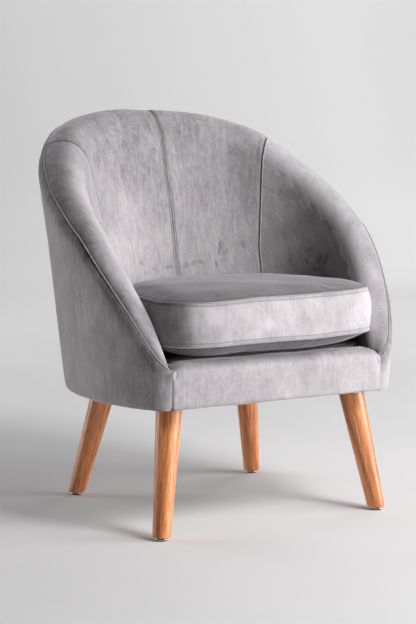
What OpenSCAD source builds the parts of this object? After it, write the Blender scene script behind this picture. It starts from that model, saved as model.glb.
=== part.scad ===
/* [Overall] */
// Height of the top of the back above the floor
back_h = 770; // [720:5:830]
// Height of the underside of the body above the floor
leg_h = 236; // [190:2:280]
// Width of the body at its underside
body_w = 597; // [560:1:650]
// Distance from the tub's centre line across to the front face
front_depth = 196; // [180:1:210]
// Distance from the tub's centre line to the back, at the underside
back_depth = 299; // [280:1:330]
// Outward lean of the outside of the arms
arm_lean = 5.5; // [3:0.5:8]
// Backward lean of the outside of the back
back_lean = 10.2; // [7:0.1:14]

/* [Inside of the tub] */
// Thickness of an arm at seat height
arm_t = 72.9; // [68:0.1:78]
// Distance from the inner centre to the inside back, at seat height
seat_back_depth = 205; // [198:1:215]
// Distance of the inner centre in front of the outer centre
inner_forward = 24; // [15:1:30]
// Height above the underside at which these inside sizes are measured
seat_rise = 201; // [190:1:215]
// Outward lean of the inside of the arms
inside_arm_lean = 7.2; // [5:0.1:9]
// Backward lean of the inside of the back
inside_back_lean = 19.4; // [15:0.1:22]
// Height of the rolled crest above the walls, at the back
roll_back = 40; // [30:1:48]
// Height of the rolled crest above the walls, at the arms
roll_arm = 32; // [24:1:36]

/* [Front corners] */
// Height of the arm tips above the underside, where arm piping and corner seam meet
tip_rise = 73; // [71:1:90]
// Distance by which the inner end of an arm stands in from the side of the seat
tip_narrow = 26; // [23:1:30]
// Distance of those inner ends behind the front face
tip_inner_set = 27; // [22:1:34]
// Softness of the rounded front corners
corner_soft = 10; // [7:0.5:13]
// Roll height left at the arm tips
roll_tip = 8; // [6:0.5:9]

/* [Upholstery] */
// Thickness of the velvet with its fleece backing
cover_t = 2; // [1.5:0.1:2.5]
// Foam on the back
back_foam_t = 46; // [35:1:50]
// Foam on the arms
arm_foam_t = 25; // [18:1:27]
// Radius of the piping along the arms and the crest
piping_r = 2.2; // [1.6:0.1:2.6]
// Width of the cover turned under the base
hem_w = 25; // [15:1:32]
// Height of the soft front edge above the underside
rail_face_h = 82; // [78:1:90]
// Radius of the soft front edge
rail_r = 25; // [18:1:30]
// Foam in front of the front rail
rail_foam_t = 8; // [5:1:10]
// Depth of the padded front edge from front to back
rail_pad_d = 46; // [40:1:52]

/* [Frame] */
// Plywood thickness of the base and seat rings
ring_t = 15; // [12:1:18]
// Clear height between the two rings
ring_gap = 30; // [24:1:32]
// Width of the base ring
base_ring_w = 88; // [80:1:95]
// Set-in of the seat ring's opening from the inside faces
seat_ring_lip = 26; // [18:1:30]
// Thickness of the timber rails, ribs and blocks
timber_t = 20; // [16:1:24]
// Thickness of the bent boards behind the foam
board_t = 4; // [3:0.5:6]
// Size of a corner block
block_w = 62; // [56:1:66]

/* [Seat] */
// Width of a webbing strap
strap_w = 50; // [40:1:60]
// Thickness of a webbing strap
strap_t = 1.4; // [1.0:0.1:1.6]
// Thickness of the decking cloth
deck_cloth_t = 1; // [0.8:0.1:1.5]
// Height of the decking above the seat ring
deck_rise = 26; // [24:1:30]

/* [Cushion] */
// Clearance between the cushion and the arms at its lower seam
cushion_side_gap = 4.5; // [4:0.5:12]
// Clearance between the cushion and the back at its lower seam, room for the zip
cushion_rear_gap = 10; // [9.5:0.5:20]
// Overhang of the cushion in front of the front face
cushion_overhang = 17; // [0:1:20]
// Height of the cushion between its two seams
cushion_seam_h = 79; // [65:1:85]
// Rise of the crown above the top seam
crown_top = 20; // [8:1:24]
// Drop of the crown below the bottom seam
crown_bottom = 27; // [16:1:30]
// Outward bulge of the border between its seams
border_bulge = 3; // [0:0.5:3.5]
// Distance that the front edge is drawn in between the corners
front_draw = 3; // [0:0.5:6]
// Thickness of the cushion cover
cushion_cover_t = 1.6; // [1.2:0.1:2]
// Radius of the cushion's welts
welt_r = 1.8; // [1.4:0.1:2.2]

/* [Legs] */
// Diameter of a leg at the underside of the body
leg_top_d = 48.5; // [42:0.5:54]
// Diameter of a leg at the foot
leg_foot_d = 33; // [28:0.5:36]
// Distance of the front leg bolts in from the side of the body
front_leg_in = 100; // [92:1:106]
// Distance of the front leg bolts behind the front face
front_leg_set = 63.5; // [60:0.5:70]
// Distance of the rear leg bolts in from the side of the body
rear_leg_in = 137.5; // [130:0.5:145]
// Distance of the rear leg bolts in from the back of the body
rear_leg_set = 108; // [102:1:114]
// Splay of a front leg to the side and to the front
front_splay = 9.3; // [7:0.1:11]
// Splay of a rear leg to the side and to the back
rear_splay = 11.3; // [9:0.1:13]
// Diameter of a glide
glide_d = 23.5; // [20:0.5:28]
// Diameter of the threaded leg bolts
bolt_d = 8; // [6:1:10]

/* [Zip] */
// Half the angle of the zip on the cushion's back
zip_half_angle = 17; // [10:0.5:18]
// Height of the zip tape
zip_tape_h = 24; // [18:1:30]
// Height of the row of teeth
zip_teeth_h = 5; // [4:0.5:6]

/* [Hidden] */
$fn = 48;

// Clearances and small allowances
seat_gap = 0.3;
frame_gap = 0.9;
fit_gap = 0.9;
bolt_gap = 0.15;
over = 1;

// Roundness of the plan outlines, where 1 is an ellipse and less is squarer,
// and sharpness of the inside's turn towards the tips, where 1 is straight and less is sharper
outer_round_share = 0.877;
inner_round_share = 0.909;
tip_turn_share = 0.333;
// Share of the front depth at which the outer curve would close, had it no front face
front_reach_share = 1.566;

// Where the wall gets thin, the layers take shares of its half thickness
cover_share = 0.3;
foam_share = 0.72;
frame_share = 0.76;
core_share = 0.9;
hem_share = 1.4;
dust_share = 1.2;
ring_share = 1.6;
// Share of the fall of the crest that the roll may take near the tips
roll_fall_share = 0.9;

// Heights of the seat and the arm tips, and of the parts that stack up inside the base
seat_h = leg_h + seat_rise;
seat_w = body_w + 2 * (tan(arm_lean) * seat_rise - arm_t);
tip_h = leg_h + tip_rise;
tip_inner_x = seat_w / 2 - tip_narrow;
base_z = leg_h + cover_t;
block_z = base_z + ring_t;
seat_ring_z = block_z + ring_gap;
ring_top_z = seat_ring_z + ring_t;
wall_foot_z = ring_top_z + seat_gap;
deck_top_z = ring_top_z + deck_rise;
cushion_z = deck_top_z + seat_gap;
seam_low_z = cushion_z + crown_bottom;
seam_top_z = seam_low_z + cushion_seam_h;

// Outline of the whole: rear of the crest, front face and front of the cushion
rear_y = back_depth + tan(back_lean) * (back_h - roll_back - leg_h);
front_y = -front_depth;
cushion_front_y = front_y - max(0, cushion_overhang + border_bulge - front_draw);
mid_y = (rear_y + cushion_front_y) / 2;
corner_y = front_y + cover_t;

// Fall of the crest from the middle of the back to the arm tips,
// as plan angle and share of the drop that is still left
tip_angle = 133.5;
crest_shares = [
  [0, 1], [20, 0.982], [40, 0.92], [55, 0.826], [70, 0.707], [85, 0.577],
  [100, 0.401], [113, 0.238], [124, 0.085], [tip_angle, 0]
];

// Drift of the side seams around the wall, in degrees, by place on the wall:
// 0 underside, 1 to 2 over the roll, 3 foot of the inside
seam_drift = [[0, 8], [1, 9], [1.5, 8], [2, 4], [2.5, -1], [3, 0]];

// Plan angles of the wall sections, centre to arm tip; one of them is the side seam
back_angles = [0, 7, 14, 21, 28, 35, 42];
arm_angles = [42, 50, 58, 66, 74, 82, 90, 97, 103, 109, 114, 119, 124, 129, tip_angle];
seam_angle = 42;
// Angle at which the foam has reached its thickness on the arms, and that of the side itself
arm_foam_angle = 80;
side_angle = 90;

// Places on the wall where the grid lines of the covers run
piping_share = 1.25;
skirt_share = 0.85;
roll_foot_share = 1.12;
outside_shares = [0, 0.22, 0.44, 0.66, skirt_share, 1, roll_foot_share];
roll_shares = [1.33, 1.42, 1.5, 1.6, 1.72, 1.85];
inside_shares = [2, 2.17, 2.34, 2.51, 2.68, 2.85, 3];
rail_outer_shares = [1, roll_foot_share, piping_share, roll_shares[0], roll_shares[1]];
rail_inner_shares = [2, roll_shares[5], roll_shares[4], roll_shares[3], roll_shares[2]];

function flatten(lists) = [for (l = lists) each l];
function mirrored(angles) = [for (k = [len(angles) - 1:-1:1]) -angles[k]];
function both_sides(angles) = concat(mirrored(angles), angles);

// Smooth curve through a table of [x, y] pairs
function slope_at(t, k) =
  k == 0 ? 0
  : k == len(t) - 1 ? (t[k].y - t[k - 1].y) / (t[k].x - t[k - 1].x)
  : (t[k + 1].y - t[k - 1].y) / (t[k + 1].x - t[k - 1].x);
function span_of(t, x, k = 0) = k >= len(t) - 2 || x < t[k + 1].x ? k : span_of(t, x, k + 1);
function smooth_lookup(x, t) =
  let (
    k = span_of(t, x),
    w = t[k + 1].x - t[k].x,
    s = (x - t[k].x) / w
  )
  (2 * pow(s, 3) - 3 * pow(s, 2) + 1) * t[k].y
  + (pow(s, 3) - 2 * pow(s, 2) + s) * w * slope_at(t, k)
  + (3 * pow(s, 2) - 2 * pow(s, 3)) * t[k + 1].y
  + (pow(s, 3) - pow(s, 2)) * w * slope_at(t, k + 1);

function crest_z(ang) = tip_h + (back_h - tip_h) * smooth_lookup(abs(ang), crest_shares);
function roll_h(ang) =
  let (k = min(1, abs(ang) / side_angle))
  min(roll_back + (roll_arm - roll_back) * k, (crest_z(ang) - tip_h) * roll_fall_share + roll_tip);
function rim_z(ang) = crest_z(ang) - roll_h(ang);
function foot_z(ang) = min(wall_foot_z, rim_z(ang) - seat_gap);

// Rounded-square plan curve, and a soft stop at the front face
function rounded(x, q) = sign(x) * pow(abs(x), q);
function soft_stop(y) = corner_y + corner_soft * ln(1 + exp((y - corner_y) / corner_soft));

// Outside and inside of the wall at a plan angle and a height
function outside(ang, z) =
  let (
    a = body_w / 2 + tan(arm_lean) * (z - leg_h),
    b = cos(ang) > 0 ? back_depth + tan(back_lean) * (z - leg_h) : front_depth * front_reach_share
  )
  [a * rounded(sin(ang), outer_round_share), soft_stop(b * rounded(cos(ang), outer_round_share))];
function inside(ang, z) =
  let (
    a = seat_w / 2 + tan(inside_arm_lean) * (z - seat_h),
    b = seat_back_depth + tan(inside_back_lean) * (z - seat_h),
    s = min(1, max(0, -outside(ang, z).y / (front_depth - cover_t))),
    end_y = front_y + tip_inner_set
  )
  abs(ang) <= side_angle
  ? [a * rounded(sin(ang), inner_round_share), b * rounded(cos(ang), inner_round_share) - inner_forward]
  : [sign(ang) * (a + (tip_inner_x - a) * pow(s, 1 / tip_turn_share)), -inner_forward + (end_y + inner_forward) * s];

// Depths of the layers under the skin, thinner where the arm tips get thin
function half_wall(ang, z) = norm(outside(ang, z) - inside(ang, z)) / 2;
function foam_t(ang) = back_foam_t + (arm_foam_t - back_foam_t) * min(1, abs(ang) / arm_foam_angle);
function depth_of(layer, ang, h) =
  layer == 0 ? 0
  : layer == 1 ? min(cover_t, cover_share * h)
  : layer == 2 ? min(cover_t + foam_t(ang), foam_share * h)
  : min(cover_t + foam_t(ang) + frame_gap, frame_share * h);

// Turn of a section as it goes over the wall, so that the side seams drift as sewn
function drift(ang, place) = abs(ang) < side_angle ? lookup(place, seam_drift) * sin(2 * ang) : 0;

// Point on one layer of the wall
function wall_point(ang0, place, layer) =
  let (
    ang = ang0 + drift(ang0, place),
    rim = rim_z(ang),
    rise = roll_h(ang),
    psi = min(180, max(0, (place - 1) * 180)),
    skin_z = place <= 1 ? leg_h + (rim - leg_h) * place
      : place < 2 ? rim + rise * sin(psi)
      : rim + (foot_z(ang) - rim) * (place - 2),
    o = outside(ang, skin_z),
    i = inside(ang, skin_z),
    h = norm(o - i) / 2,
    d = min(depth_of(layer, ang, h), core_share * h),
    p = (o + i) / 2 + (o - i) / 2 * (1 - d / h) * cos(psi),
    z = place > 1 && place < 2 ? rim + rise * (1 - d / h) * sin(psi) : skin_z
  )
  [p.x, p.y, z];

// Point at a height on the outer or the inner side, so far in from the skin
function outer_at(ang, z, d) =
  let (o = outside(ang, z), i = inside(ang, z), e = (i - o) / norm(i - o), p = o + e * d) [p.x, p.y, z];
function inner_at(ang, z, d) =
  let (o = outside(ang, z), i = inside(ang, z), e = (o - i) / norm(o - i), p = i + e * d) [p.x, p.y, z];

// Half of the room that the piping needs, as a share of the way over the roll
function piping_room(ang) =
  let (h = half_wall(ang, rim_z(ang)), r = roll_h(ang))
  (piping_r + seat_gap) / (PI * sqrt((pow(h, 2) + pow(r, 2)) / 2));

// Closed solid between two facing grids of points, one row of each per section;
// the left half is cut into triangles as the mirror of the right one
module layer_solid(outer_rows, inner_rows) {
  n = len(outer_rows);
  m = len(outer_rows[0]);
  points = concat(flatten(outer_rows), flatten(inner_rows));
  off = n * m;
  function o(i, j) = i * m + j;
  function b(i, j) = off + i * m + j;
  faces = flatten([
    for (i = [0:n - 2], j = [0:m - 2]) outer_rows[i][0].x + outer_rows[i + 1][0].x > 0 ? [
      [o(i, j), o(i, j + 1), o(i + 1, j + 1)], [o(i, j), o(i + 1, j + 1), o(i + 1, j)],
      [b(i, j), b(i + 1, j + 1), b(i, j + 1)], [b(i, j), b(i + 1, j), b(i + 1, j + 1)]
    ] : [
      [o(i, j), o(i, j + 1), o(i + 1, j)], [o(i, j + 1), o(i + 1, j + 1), o(i + 1, j)],
      [b(i, j), b(i + 1, j), b(i, j + 1)], [b(i, j + 1), b(i + 1, j), b(i + 1, j + 1)]
    ],
    for (i = [0:n - 2]) [
      [o(i, 0), o(i + 1, 0), b(i + 1, 0)], [o(i, 0), b(i + 1, 0), b(i, 0)],
      [o(i, m - 1), b(i + 1, m - 1), o(i + 1, m - 1)], [o(i, m - 1), b(i, m - 1), b(i + 1, m - 1)]
    ],
    for (j = [0:m - 2]) [
      [o(0, j), b(0, j), b(0, j + 1)], [o(0, j), b(0, j + 1), o(0, j + 1)],
      [o(n - 1, j), b(n - 1, j + 1), b(n - 1, j)], [o(n - 1, j), o(n - 1, j + 1), b(n - 1, j + 1)]
    ]
  ]);
  polyhedron(points, turned_out(faces));
}
function turned_out(faces) = [for (f = faces) reversed(f)];
function reversed(list) = [for (k = [len(list) - 1:-1:0]) list[k]];

// Tube of even radius along points, closed at both ends or joined to a ring
function unit(v) = v / norm(v);
module tube(path, r, sides, closed) {
  n = len(path);
  function at(k) = closed ? path[(k + n) % n] : path[min(n - 1, max(0, k))];
  function ring(k) =
    let (
      t = unit(at(k + 1) - at(k - 1)),
      side = unit(cross([0, 0, 1], t)),
      up = cross(t, side)
    )
    [for (s = [0:sides - 1]) path[k] + r * (cos(360 * s / sides) * side + sin(360 * s / sides) * up)];
  points = flatten([for (k = [0:n - 1]) ring(k)]);
  last = closed ? n - 1 : n - 2;
  faces = concat(
    flatten([for (k = [0:last], s = [0:sides - 1])
      let (a = k * sides, b = ((k + 1) % n) * sides, s1 = (s + 1) % sides)
      [[a + s, b + s1, b + s], [a + s, a + s1, b + s1]]]),
    closed ? [] : [
      [for (s = [sides - 1:-1:0]) s],
      [for (s = [0:sides - 1]) (n - 1) * sides + s]
    ]
  );
  polyhedron(points, turned_out(faces));
}

// Everything is worked out from the tub's centre line and then moved to its own middle
module placed() translate([0, -mid_y, 0]) children();
module left_side() mirror([1, 0, 0]) children();

// Inside covers: from the piping over the roll and down to the seat ring
module inside_cover(angles) {
  function places(ang) = concat([piping_share + piping_room(ang)], roll_shares, inside_shares);
  placed() layer_solid(
    [for (ang = angles) [for (p = places(ang)) wall_point(ang, p, 0)]],
    [for (ang = angles) [for (p = places(ang)) wall_point(ang, p, 1)]]
  );
}
module inside_back_right() color("#a2a2a6") inside_cover(back_angles);
module inside_back_left() color("#a2a2a6") left_side() inside_cover(back_angles);
module inside_arm_right() color("#8f8f94") inside_cover(arm_angles);
module inside_arm_left() color("#8f8f94") left_side() inside_cover(arm_angles);

// Outside covers: turned under the base, up the wall and onto the roll below the piping
module outside_cover(angles) {
  function places(ang) = concat(outside_shares, [piping_share - piping_room(ang)]);
  up = [0, 0, cover_t];
  placed() layer_solid(
    [for (ang = angles) concat([outer_at(ang, leg_h, hem_of(ang))],
      [for (p = places(ang)) wall_point(ang, p, 0)])],
    [for (ang = angles) concat([outer_at(ang, leg_h, hem_of(ang)) + up, wall_point(ang, 0, 1) + up],
      [for (k = [1:len(places(ang)) - 1]) wall_point(ang, places(ang)[k], 1)])]
  );
}
function hem_of(ang) = min(hem_w, hem_share * half_wall(ang, leg_h));
module outside_back() color("#85858a") outside_cover(both_sides(back_angles));
module outside_arm_right() color("#7d7d82") outside_cover(arm_angles);
module outside_arm_left() color("#7d7d82") left_side() outside_cover(arm_angles);

// Foam: a skirt outside the rail, over the roll and down to the seat ring
module foam(angles) {
  function low_share(ang) = max(skirt_share, (wall_foot_z - leg_h) / (rim_z(ang) - leg_h));
  function places(ang) = concat([low_share(ang), 1, roll_foot_share, piping_share], roll_shares, inside_shares);
  placed() layer_solid(
    [for (ang = angles) [for (p = places(ang)) wall_point(ang, p, 1)]],
    [for (ang = angles) [for (p = places(ang)) wall_point(ang, p, 2)]]
  );
}
module back_foam() color("#e8dfb8") foam(both_sides(back_angles));
module arm_foam_right() color("#e8dfb8") foam(arm_angles);
module arm_foam_left() color("#e8dfb8") left_side() foam(arm_angles);

// Rails under the roll, wrapped by the foam, with their undersides at the foam's skirt
function skirt_z(ang) = leg_h + (rim_z(ang) - leg_h) * skirt_share;
module crest_rail(angles) {
  function low_share(ang) = 2 + (rim_z(ang) - skirt_z(ang)) / (rim_z(ang) - foot_z(ang));
  placed() layer_solid(
    [for (ang = angles) [for (p = concat([skirt_share], rail_outer_shares)) wall_point(ang, p, 3)]],
    [for (ang = angles) let (low = low_share(ang + drift(ang, skirt_share)))
      [for (p = concat([low], rail_inner_shares)) wall_point(ang, p, 3)]]
  );
}
module top_rail() color("#c9a46b") crest_rail(both_sides(back_angles));
module arm_rail_right() color("#c9a46b") crest_rail([for (a = arm_angles) if (a < arm_rail_end_angle) a]);
module arm_rail_left() left_side() arm_rail_right();
arm_rail_end_angle = 125;

// Thin boards behind the foam, from the seat ring up to the rails
module bent_board(angles) {
  steps = 4;
  function depth(ang, z) = depth_of(3, ang, half_wall(ang, z));
  function level(ang, k) = wall_foot_z + (skirt_z(ang) - board_drop - wall_foot_z) * k / steps;
  placed() layer_solid(
    [for (ang = angles) [for (k = [0:steps]) inner_at(ang, level(ang, k), depth(ang, level(ang, k)) + fit_gap + board_t)]],
    [for (ang = angles) [for (k = [0:steps]) inner_at(ang, level(ang, k), depth(ang, level(ang, k)) + fit_gap)]]
  );
}
board_drop = 6;
board_end_angle = 112;
back_board_angles = [0, 8, 16, 24, 32, 40, 48];
arm_board_angles = [49, 56, 63, 70, 77, 84, 90, 96, 102, board_end_angle];
module back_board() color("#b58a55") bent_board(both_sides(back_board_angles));
module arm_board_right() color("#b58a55") bent_board(arm_board_angles);
module arm_board_left() left_side() arm_board_right();

// Plywood ribs between the seat ring and the rails, cut to the section of the wall
module wall_rib(ang) {
  half = atan(timber_t / body_w);
  steps = 4;
  function depth(a, z) = depth_of(3, a, half_wall(a, z)) + 2 * fit_gap + board_t;
  top = min(skirt_z(ang - half), skirt_z(ang + half)) - board_drop;
  function level(k) = ring_top_z + (top - ring_top_z) * k / steps;
  placed() layer_solid(
    [for (a = [ang - half, ang + half]) [for (k = [0:steps]) outer_at(a, level(k), cover_t + rib_set)]],
    [for (a = [ang - half, ang + half]) [for (k = [0:steps]) inner_at(a, level(k), depth(a, level(k)))]]
  );
}
rib_set = 2.2;
back_rib_angles = [-44, -15, 15, 44];
arm_rib_angles = [70, 93];
module back_ribs() color("#d2b27c") for (ang = back_rib_angles) wall_rib(ang);
module arm_ribs_right() color("#d2b27c") for (ang = arm_rib_angles) wall_rib(ang);
module arm_ribs_left() left_side() arm_ribs_right();

// Plywood rings; the stations of the covers give their outline
ring_front_y = front_y + cover_t + rail_foam_t + seat_gap;
ring_angles = both_sides(concat(back_angles, [for (a = arm_angles) if (a > seam_angle) a]));
half_turn_angles = both_sides([for (a = ring_angles) if (a >= 0 && a <= side_angle) a]);
function ring_outline(z, d) = [for (ang = ring_angles)
  let (p = outer_at(ang, z, min(d, ring_share * half_wall(ang, z)))) [p.x, max(p.y, ring_front_y)]];
function base_opening() = concat(
  [for (ang = half_turn_angles) [
    (body_w / 2 - base_ring_w) * rounded(sin(ang), outer_round_share),
    (back_depth - base_ring_w) * rounded(cos(ang), outer_round_share)
  ]],
  [for (s = [1, -1]) [s * (body_w / 2 - base_ring_w), front_y + base_ring_w]]
);
module base_ring() color("#d8bd8a") placed() difference() {
  translate([0, 0, base_z]) linear_extrude(ring_t) difference() {
    polygon(ring_outline(leg_h, cover_t + fit_gap));
    polygon(base_opening());
  }
  each_leg() translate([0, 0, base_z - over]) cylinder(h = ring_t + 2 * over, d = nut_barrel_d + 2 * bolt_gap);
}
function seat_opening() = concat(
  [for (ang = half_turn_angles)
    let (p = inside(ang, ring_top_z), away = unit([p.x, p.y + inner_forward])) p - away * seat_ring_lip],
  [for (s = [1, -1]) [s * (tip_inner_x - seat_ring_lip), ring_front_y + rail_pad_d]]
);
module seat_ring() color("#d8bd8a") placed() translate([0, 0, seat_ring_z]) linear_extrude(ring_t) difference() {
  polygon(ring_outline(seat_ring_z, cover_t + fit_gap));
  polygon(seat_opening());
}

// Timber rail between the rings at the front
module front_rail() color("#d2b27c") placed()
  translate([-front_rail_half, ring_front_y, block_z])
    cube([2 * front_rail_half, timber_t, ring_gap]);
front_rail_half = tip_inner_x - timber_t;

// Blocks between the rings: one round each leg bolt, and more along the sides and back
front_top = [body_w / 2 - front_leg_in, front_y + front_leg_set];
rear_top = [body_w / 2 - rear_leg_in, back_depth - rear_leg_set];
module each_leg() {
  for (s = [-1, 1]) {
    translate([s * front_top.x, front_top.y, 0]) children();
    translate([s * rear_top.x, rear_top.y, 0]) children();
  }
}
module corner_blocks() color("#c9a46b") placed() each_leg() difference() {
  translate([-block_w / 2, -block_w / 2, block_z]) cube([block_w, block_w, ring_gap]);
  translate([0, 0, block_z - over]) cylinder(h = ring_gap + 2 * over, d = nut_flange_d + 2 * nut_room);
}
side_block_x = body_w / 2 - timber_t - cover_t - seat_gap;
block_set = 10;
rear_block_y = back_depth - timber_t - cover_t - seat_gap - block_set;
module side_blocks() color("#c9a46b") placed() {
  for (s = [-1, 1])
    translate([s * side_block_x - timber_t / 2, -block_w / 2, block_z]) cube([timber_t, block_w, ring_gap]);
  translate([-block_w / 2, rear_block_y, block_z])
    cube([block_w, timber_t, ring_gap]);
}

// Elastic webbing woven over and under, stapled on the seat ring
strap_low = ring_top_z;
weave_gap = 0.15;
strap_high = strap_low + strap_t + weave_gap;
strap_space = 46;
strap_pitch = strap_w + strap_space;
cross_space = 28;
cross_pitch = strap_w + cross_space;
cross_first_y = -inner_forward - cross_pitch;
ramp_share = 0.15;
seat_power = 2 / inner_round_share;
function seat_half_x(y) =
  let (
    a = inside(side_angle, ring_top_z).x,
    b = inside(0, ring_top_z).y + inner_forward,
    t = max(0, y + inner_forward) / b
  )
  a * pow(1 - pow(t, seat_power), 1 / seat_power);
function seat_rear_y(x) =
  let (
    a = inside(side_angle, ring_top_z).x,
    b = inside(0, ring_top_z).y + inner_forward
  )
  b * pow(1 - pow(abs(x) / a, seat_power), 1 / seat_power) - inner_forward;
// Side view of a strap: high where it passes over, low where it passes under
module strap(from, to, crossings, first_over) {
  ramp = strap_w * ramp_share;
  half = strap_w / 2 + seat_gap;
  line = concat(
    [[from, strap_low]],
    flatten([for (k = [0:len(crossings) - 1])
      (k + first_over) % 2 == 0 ? [
        [crossings[k] - half - ramp, strap_low], [crossings[k] - half, strap_high],
        [crossings[k] + half, strap_high], [crossings[k] + half + ramp, strap_low]
      ] : []]),
    [[to, strap_low]]
  );
  rotate([90, 0, 0]) translate([0, 0, -strap_w / 2]) linear_extrude(strap_w)
    polygon(concat(line, [for (k = [len(line) - 1:-1:0]) line[k] + [0, strap_t]]));
}
cross_ys = [for (k = [0:2]) cross_first_y + k * cross_pitch];
length_xs = [for (k = [-1:1]) k * strap_pitch];
strap_margin = 7;
strap_hold = 28;
module webbing_lengthwise() color("#2f2f33") placed() for (k = [0:2])
  translate([length_xs[k], 0, 0]) rotate([0, 0, 90])
    strap(ring_front_y + rail_pad_d - strap_hold,
      seat_rear_y(abs(length_xs[k]) + strap_w / 2) - strap_margin, cross_ys, k);
module webbing_crosswise() color("#2f2f33") placed() for (k = [0:2])
  let (reach = seat_half_x(cross_ys[k] + strap_w / 2) - strap_margin)
    translate([0, cross_ys[k], 0]) strap(-reach, reach, length_xs, k + 1);

// Decking: a felt pad on the webbing and a cloth over it
pad_front_y = front_y + rail_pad_d + seat_gap;
pad_z = strap_high + strap_t + weave_gap;
function deck_outline() = [for (ang = ring_angles)
  let (p = inner_at(ang, pad_z, -fit_gap)) [p.x, max(p.y, pad_front_y)]];
module deck_pad() color("#c8c2b0") placed() translate([0, 0, pad_z])
  linear_extrude(deck_top_z - deck_cloth_t - pad_z) polygon(deck_outline());
module deck_cloth() color("#3a3a3e") placed() translate([0, 0, deck_top_z - deck_cloth_t])
  linear_extrude(deck_cloth_t) polygon(deck_outline());

// Soft front edge: side view of its skin, so far in from the face
module edge_profile(d) {
  top = leg_h + rail_face_h - d;
  r = rail_r - d;
  back = front_y + rail_pad_d - d;
  translate([front_y + d, leg_h + d]) square([r, top - r - leg_h - d]);
  intersection() {
    translate([front_y + d + r, top - r]) circle(r = r);
    translate([front_y + d, top - r]) square([r + over, r + over]);
  }
  translate([front_y + d + r, leg_h + d]) square([back - front_y - d - r, top - leg_h - d]);
}
module along_front(half) rotate([90, 0, 90]) translate([0, 0, -half]) linear_extrude(2 * half) children();
front_half = outside(tip_angle, leg_h).x;
edge_half = tip_inner_x - seat_gap;
module front_rail_cover() color("#b4b4b8") placed() difference() {
  along_front(front_half - seat_gap) difference() {
    edge_profile(0);
    edge_profile(cover_t);
    translate([front_y + hem_w, leg_h - over]) square([rail_pad_d, cover_t + 2 * over]);
    translate([front_y + rail_pad_d - cover_t - over, leg_h - over])
      square([cover_t + 2 * over, pad_z - leg_h + over]);
  }
  for (s = [-1, 1]) translate([s * edge_half + min(0, s) * timber_t, corner_y, leg_h - over])
    cube([timber_t, rail_pad_d, rail_face_h + 2 * over]);
}
module front_rail_foam() color("#e8dfb8") placed() along_front(edge_half) difference() {
  edge_profile(cover_t);
  translate([ring_front_y - seat_gap, leg_h]) square([rail_pad_d, ring_top_z + seat_gap - leg_h]);
  translate([ring_front_y, leg_h]) square([rail_pad_d, pad_z - leg_h]);
}

// Piping between inside and outside covers, in one length round the whole crest
function piping_path() = [for (ang = ring_angles)
  let (
    p = wall_point(ang, piping_share, 0),
    q = wall_point(ang, piping_share, 1)
  )
  p + unit(p - q) * piping_lift];
piping_lift = 0.9;
module crest_piping() color("#9c9ca1") placed() tube(piping_path(), piping_r, piping_sides, false);
piping_sides = 6;

// Black cloth under the base, with holes for the legs
dust_t = 1;
dust_inset = 9;
leg_hole_gap = 2;
module dust_cover() color("#1e1e20") placed() difference() {
  translate([0, 0, leg_h - dust_t]) linear_extrude(dust_t) polygon([for (ang = ring_angles)
    let (p = outer_at(ang, leg_h, min(dust_inset, dust_share * half_wall(ang, leg_h))))
    [p.x, max(p.y, front_y + dust_inset)]]);
  each_leg() translate([0, 0, leg_h - dust_t - over])
    cylinder(h = dust_t + 2 * over, d = leg_top_d + 2 * leg_hole_gap);
}

// Turned legs, splayed, cut level at foot and top, with a bore for the bolt and the glide's nail
pad_t = 2;
disc_t = 2.6;
stem_t = 1.6;
foot_z0 = pad_t + disc_t + stem_t;
foot_chamfer = 2;
foot_bevel = 1.2;
bolt_in_leg = 48;
nail_d = 3;
nail_l = 16;
module splayed_leg(foot, top, splay) {
  heading = atan2(top.y - foot.y, top.x - foot.x);
  tilt = atan(tan(splay) * sqrt(2));
  length = (leg_h + over) / cos(tilt);
  grow = (leg_top_d - leg_foot_d) / 2 / length;
  reach = leg_top_d;
  difference() {
    intersection() {
      translate([foot.x, foot.y, 0]) rotate([0, tilt, heading]) translate([0, 0, -reach])
        cylinder(h = length + 2 * reach, r1 = leg_foot_d / 2 - grow * reach, r2 = leg_top_d / 2 + grow * reach);
      translate([foot.x, foot.y, foot_z0]) union() {
        cylinder(h = foot_chamfer, r1 = leg_foot_d / 2 - foot_bevel, r2 = leg_foot_d / 2 + foot_bevel);
        translate([-leg_h, -leg_h, foot_chamfer]) cube([2 * leg_h, 2 * leg_h, base_z - foot_z0 - foot_chamfer]);
      }
    }
    translate([top.x, top.y, base_z - bolt_in_leg]) cylinder(h = bolt_in_leg + over, d = bolt_d + 2 * bolt_gap);
    translate([foot.x, foot.y, 0]) cylinder(h = foot_z0 + nail_l + bolt_gap, d = nail_d + 2 * bolt_gap);
  }
}
front_foot = front_top + tan(front_splay) * leg_h * [1, -1];
rear_foot = rear_top + tan(rear_splay) * leg_h * [1, 1];
module leg_front_right() color("#b8703a") placed() splayed_leg(front_foot, front_top, front_splay);
module leg_front_left() left_side() leg_front_right();
module leg_rear_right() color("#b8703a") placed() splayed_leg(rear_foot, rear_top, rear_splay);
module leg_rear_left() left_side() leg_rear_right();

// Threaded bolts and the tee nuts that they screw into
nut_flange_d = 22;
nut_flange_t = 1.6;
nut_barrel_d = 10.4;
bolt_above = 6;
nut_room = 2.5;
module leg_bolts() color("#b9bcc0") placed() each_leg() translate([0, 0, base_z - bolt_in_leg + bolt_gap])
  cylinder(h = bolt_in_leg - bolt_gap + ring_t + bolt_above, d = bolt_d);
module tee_nuts() color("#a7aaad") placed() each_leg() difference() {
  union() {
    translate([0, 0, block_z]) cylinder(h = nut_flange_t, d = nut_flange_d);
    translate([0, 0, base_z + seat_gap]) cylinder(h = ring_t, d = nut_barrel_d);
  }
  translate([0, 0, base_z - over]) cylinder(h = ring_t + 2 * over + nut_flange_t, d = bolt_d + bolt_gap);
}

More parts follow.
